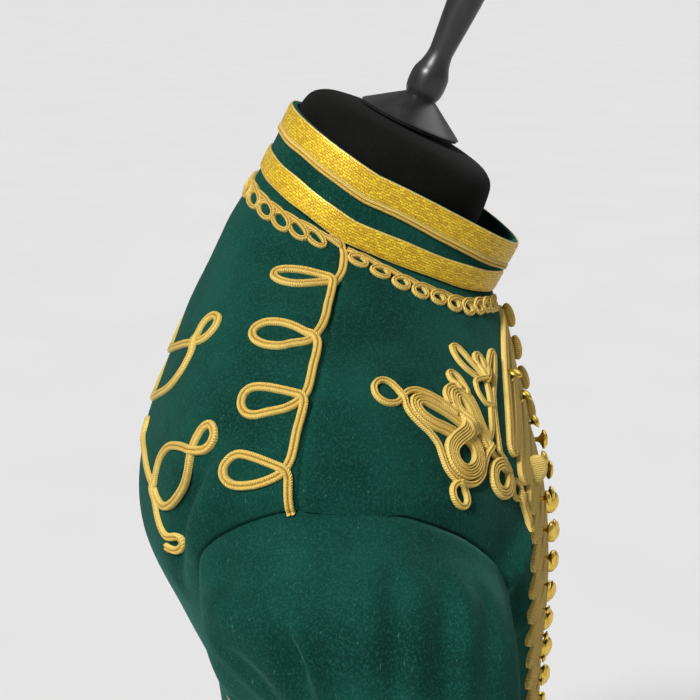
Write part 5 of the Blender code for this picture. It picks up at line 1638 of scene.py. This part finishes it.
def braid_material():
    """Plaited cords: slanting threads that meet in the groove along the middle of each. Painted shade
    darkens that groove and the valleys between the threads, and a painted highlight lightens the raised
    shoulders of each cord.
    """
    made = Nodes("gold_braid_thread", 0.55, 0.1, 0.4)
    along, place = made.thread()
    side = made.math("ABSOLUTE", place)
    phase = made.times(made.plus(along, made.times(side, 1.5)), 2.0 * math.pi / 1.15)
    wave = made.times(made.plus(made.math("SINE", phase), 1.0), 0.5)
    fine = made.noise(2600.0, 2.0)
    cloud = made.ramp(made.noise(70.0, 4.0), 0.3, 0.7)
    # Painted shade: the colour darkens in the groove along the middle of each cord and in the valleys
    # between the slanting threads
    crown = made.ramp(side, 0.0, 0.3)
    base = made.mix(made.times(crown, made.ramp(wave, -0.6, 0.7)), BRAID_PAINTED_SHADE_AND_SPECKS, BRAID_LIGHT)
    speck = made.ramp(made.noise(1300.0, 3.0), 0.52, 0.68)
    base = made.mix(made.times(cloud, 0.4), base, BRAID_WARM)
    # Random dark specks, in the same colour as the painted shade
    base = made.mix(made.times(speck, 0.55), base, BRAID_PAINTED_SHADE_AND_SPECKS)
    # Painted highlight: the raised shoulders of each cord are painted paler
    base = made.mix(made.times(made.ramp(side, 0.55, 0.85), 0.35), base, BRAID_PAINTED_HIGHLIGHT)
    made.colour(base)
    height = made.plus(made.times(wave, 0.8), made.times(fine, 0.7))
    made.bump(height, 0.0003, 0.9)
    return made.material


def lace_material():
    """Wide metal lace: short bright floats with painted shade in the gaps between them, fine painted glints,
    and a pale wire along each edge.
    """
    made = Nodes("gold_lace_weave", 0.42, 0.25, 0.35)
    along, place = made.thread()
    across = made.times(place, LACE_WIDTH / 2.0)
    wander = made.times(made.math("SUBTRACT", made.noise(340.0, 3.0), 0.5), 2.2)
    floats = made.weave(made.plus(along, wander), made.plus(across, wander), 2.7, 1.35)
    # Painted glints: fine random flecks that lighten the colour and also roughen the bump
    spark = made.ramp(made.noise(1400.0, 3.0), 0.35, 0.7)
    height = made.plus(made.times(floats, 0.8), made.times(spark, 0.3))
    # Painted shade: the colour follows the bump height, so the gaps between the floats are darker
    base = made.mix(made.ramp(height, 0.10, 0.85), LACE_PAINTED_SHADE, LACE_LIGHT)
    edge = made.ramp(made.math("ABSOLUTE", place), 0.88, 0.93)
    base = made.mix(made.times(edge, 0.7), base, LACE_WIRE)
    made.colour(base)
    made.bump(height, 0.0003, 0.8)
    return made.material


def brass_material():
    made = Nodes("gilt_brass", 0.2, 1.0, 0.5)
    cloud = made.ramp(made.noise(240.0, 4.0), 0.35, 0.7)
    made.colour(made.mix(cloud, GILT_DARK, GILT_LIGHT))
    made.feed(made.shader.inputs["Roughness"], made.plus(made.times(cloud, 0.14), 0.24))
    made.bump(made.noise(900.0, 3.0), 0.0001, 0.25)
    return made.material


def jersey_material():
    made = Nodes("black_jersey_knit", 0.9, 0.0, 0.04)
    knit = made.noise(1500.0, 2.0, ((1.0, 1.0, 0.35), (0.0, 0.0, 0.0)))
    cloud = made.ramp(made.noise(40.0, 4.0), 0.3, 0.7)
    base = made.mix(cloud, (0.0034, 0.0034, 0.0031), (0.0060, 0.0060, 0.0054))
    # Painted highlight: the raised knit, which the bump lifts, is painted lighter
    made.colour(made.mix(made.times(made.ramp(knit, 0.5, 0.8), 0.35), base, (0.014, 0.014, 0.0125)))
    made.shader.inputs["Sheen Weight"].default_value = 0.02
    made.bump(knit, 0.0004, 0.6)
    return made.material


def wood_material():
    made = Nodes("black_lacquered_wood", 0.34, 0.0, 0.5)
    grain = made.noise(120.0, 6.0, ((1.0, 1.0, 0.12), (0.42, 0.0, 0.0)))
    made.colour(made.mix(made.ramp(grain, 0.35, 0.7), (0.010, 0.010, 0.011), (0.022, 0.021, 0.021)))
    made.feed(made.shader.inputs["Roughness"], made.plus(made.times(grain, 0.22), 0.26))
    made.bump(grain, 0.0004, 0.35)
    return made.material


def floor_material():
    made = Nodes("pale_floor", 0.95, 0.0, 0.1)
    cloud = made.ramp(made.noise(3.0, 4.0), 0.3, 0.7)
    made.colour(made.mix(cloud, FLOOR_DARK, FLOOR_LIGHT))
    return made.material


def show_stage():
    mesh = bpy.data.meshes.new("pale_floor")
    corners = [(x * FLOOR_REACH, y * FLOOR_REACH, 0.0) for x, y in ((-1, -1), (1, -1), (1, 1), (-1, 1))]
    mesh.from_pydata(corners, [], [(0, 1, 2, 3)])
    mesh.materials.append(floor_material())
    floor = bpy.data.objects.new("pale_floor", mesh)
    bpy.context.scene.collection.objects.link(floor)
    sky = bpy.data.worlds.new("studio")
    sky.use_nodes = True
    glow = sky.node_tree.nodes["Background"]
    glow.inputs["Color"].default_value = (1.0, 1.0, 1.0, 1.0)
    glow.inputs["Strength"].default_value = SKY_STRENGTH
    bpy.context.scene.world = sky
    for name, place, strength, softness in SUNS:
        data = bpy.data.lights.new(name, "SUN")
        data.energy = strength
        data.angle = math.radians(softness)
        hang(data, place, (0.0, 0.0, 0.0))
    for name, place, size, power in FILLS:
        data = bpy.data.lights.new(name, "AREA")
        data.size = size
        data.energy = power
        hang(data, place, FILL_AIM)


def hang(data, place, aim):
    """Puts a lamp at a place and points it."""
    lamp = bpy.data.objects.new(data.name, data)
    lamp.location = place
    lamp.rotation_mode = "QUATERNION"
    lamp.rotation_quaternion = (Vector(aim) - Vector(place)).to_track_quat("-Z", "Y")
    bpy.context.scene.collection.objects.link(lamp)


def show_camera():
    data = bpy.data.cameras.new("photo_camera")
    data.sensor_width = SENSOR
    data.lens = CAMERA_LENS
    camera = bpy.data.objects.new("photo_camera", data)
    camera.location = CAMERA_PLACE
    camera.rotation_euler = (math.radians(90.0 - CAMERA_PITCH), 0.0, math.radians(-90.0))
    bpy.context.scene.collection.objects.link(camera)
    bpy.context.scene.camera = camera
    bpy.context.scene.view_settings.view_transform = "Standard"


def main():
    wool = wool_material()
    braid = braid_material()
    lace = lace_material()
    brass = brass_material()
    skins = show_body(wool)
    show_sleeves(wool)
    show_collar(wool, lace, braid)
    show_form(jersey_material(), wood_material())
    skin = Skin(skins)
    show_shoulders(skin, braid)
    show_eyes(skin, braid)
    show_back_figures(skin, braid)
    show_rear_seams(skin, braid)
    show_knots(skin, braid)
    show_rows(skin, braid, brass)
    show_stage()
    show_camera()


main()
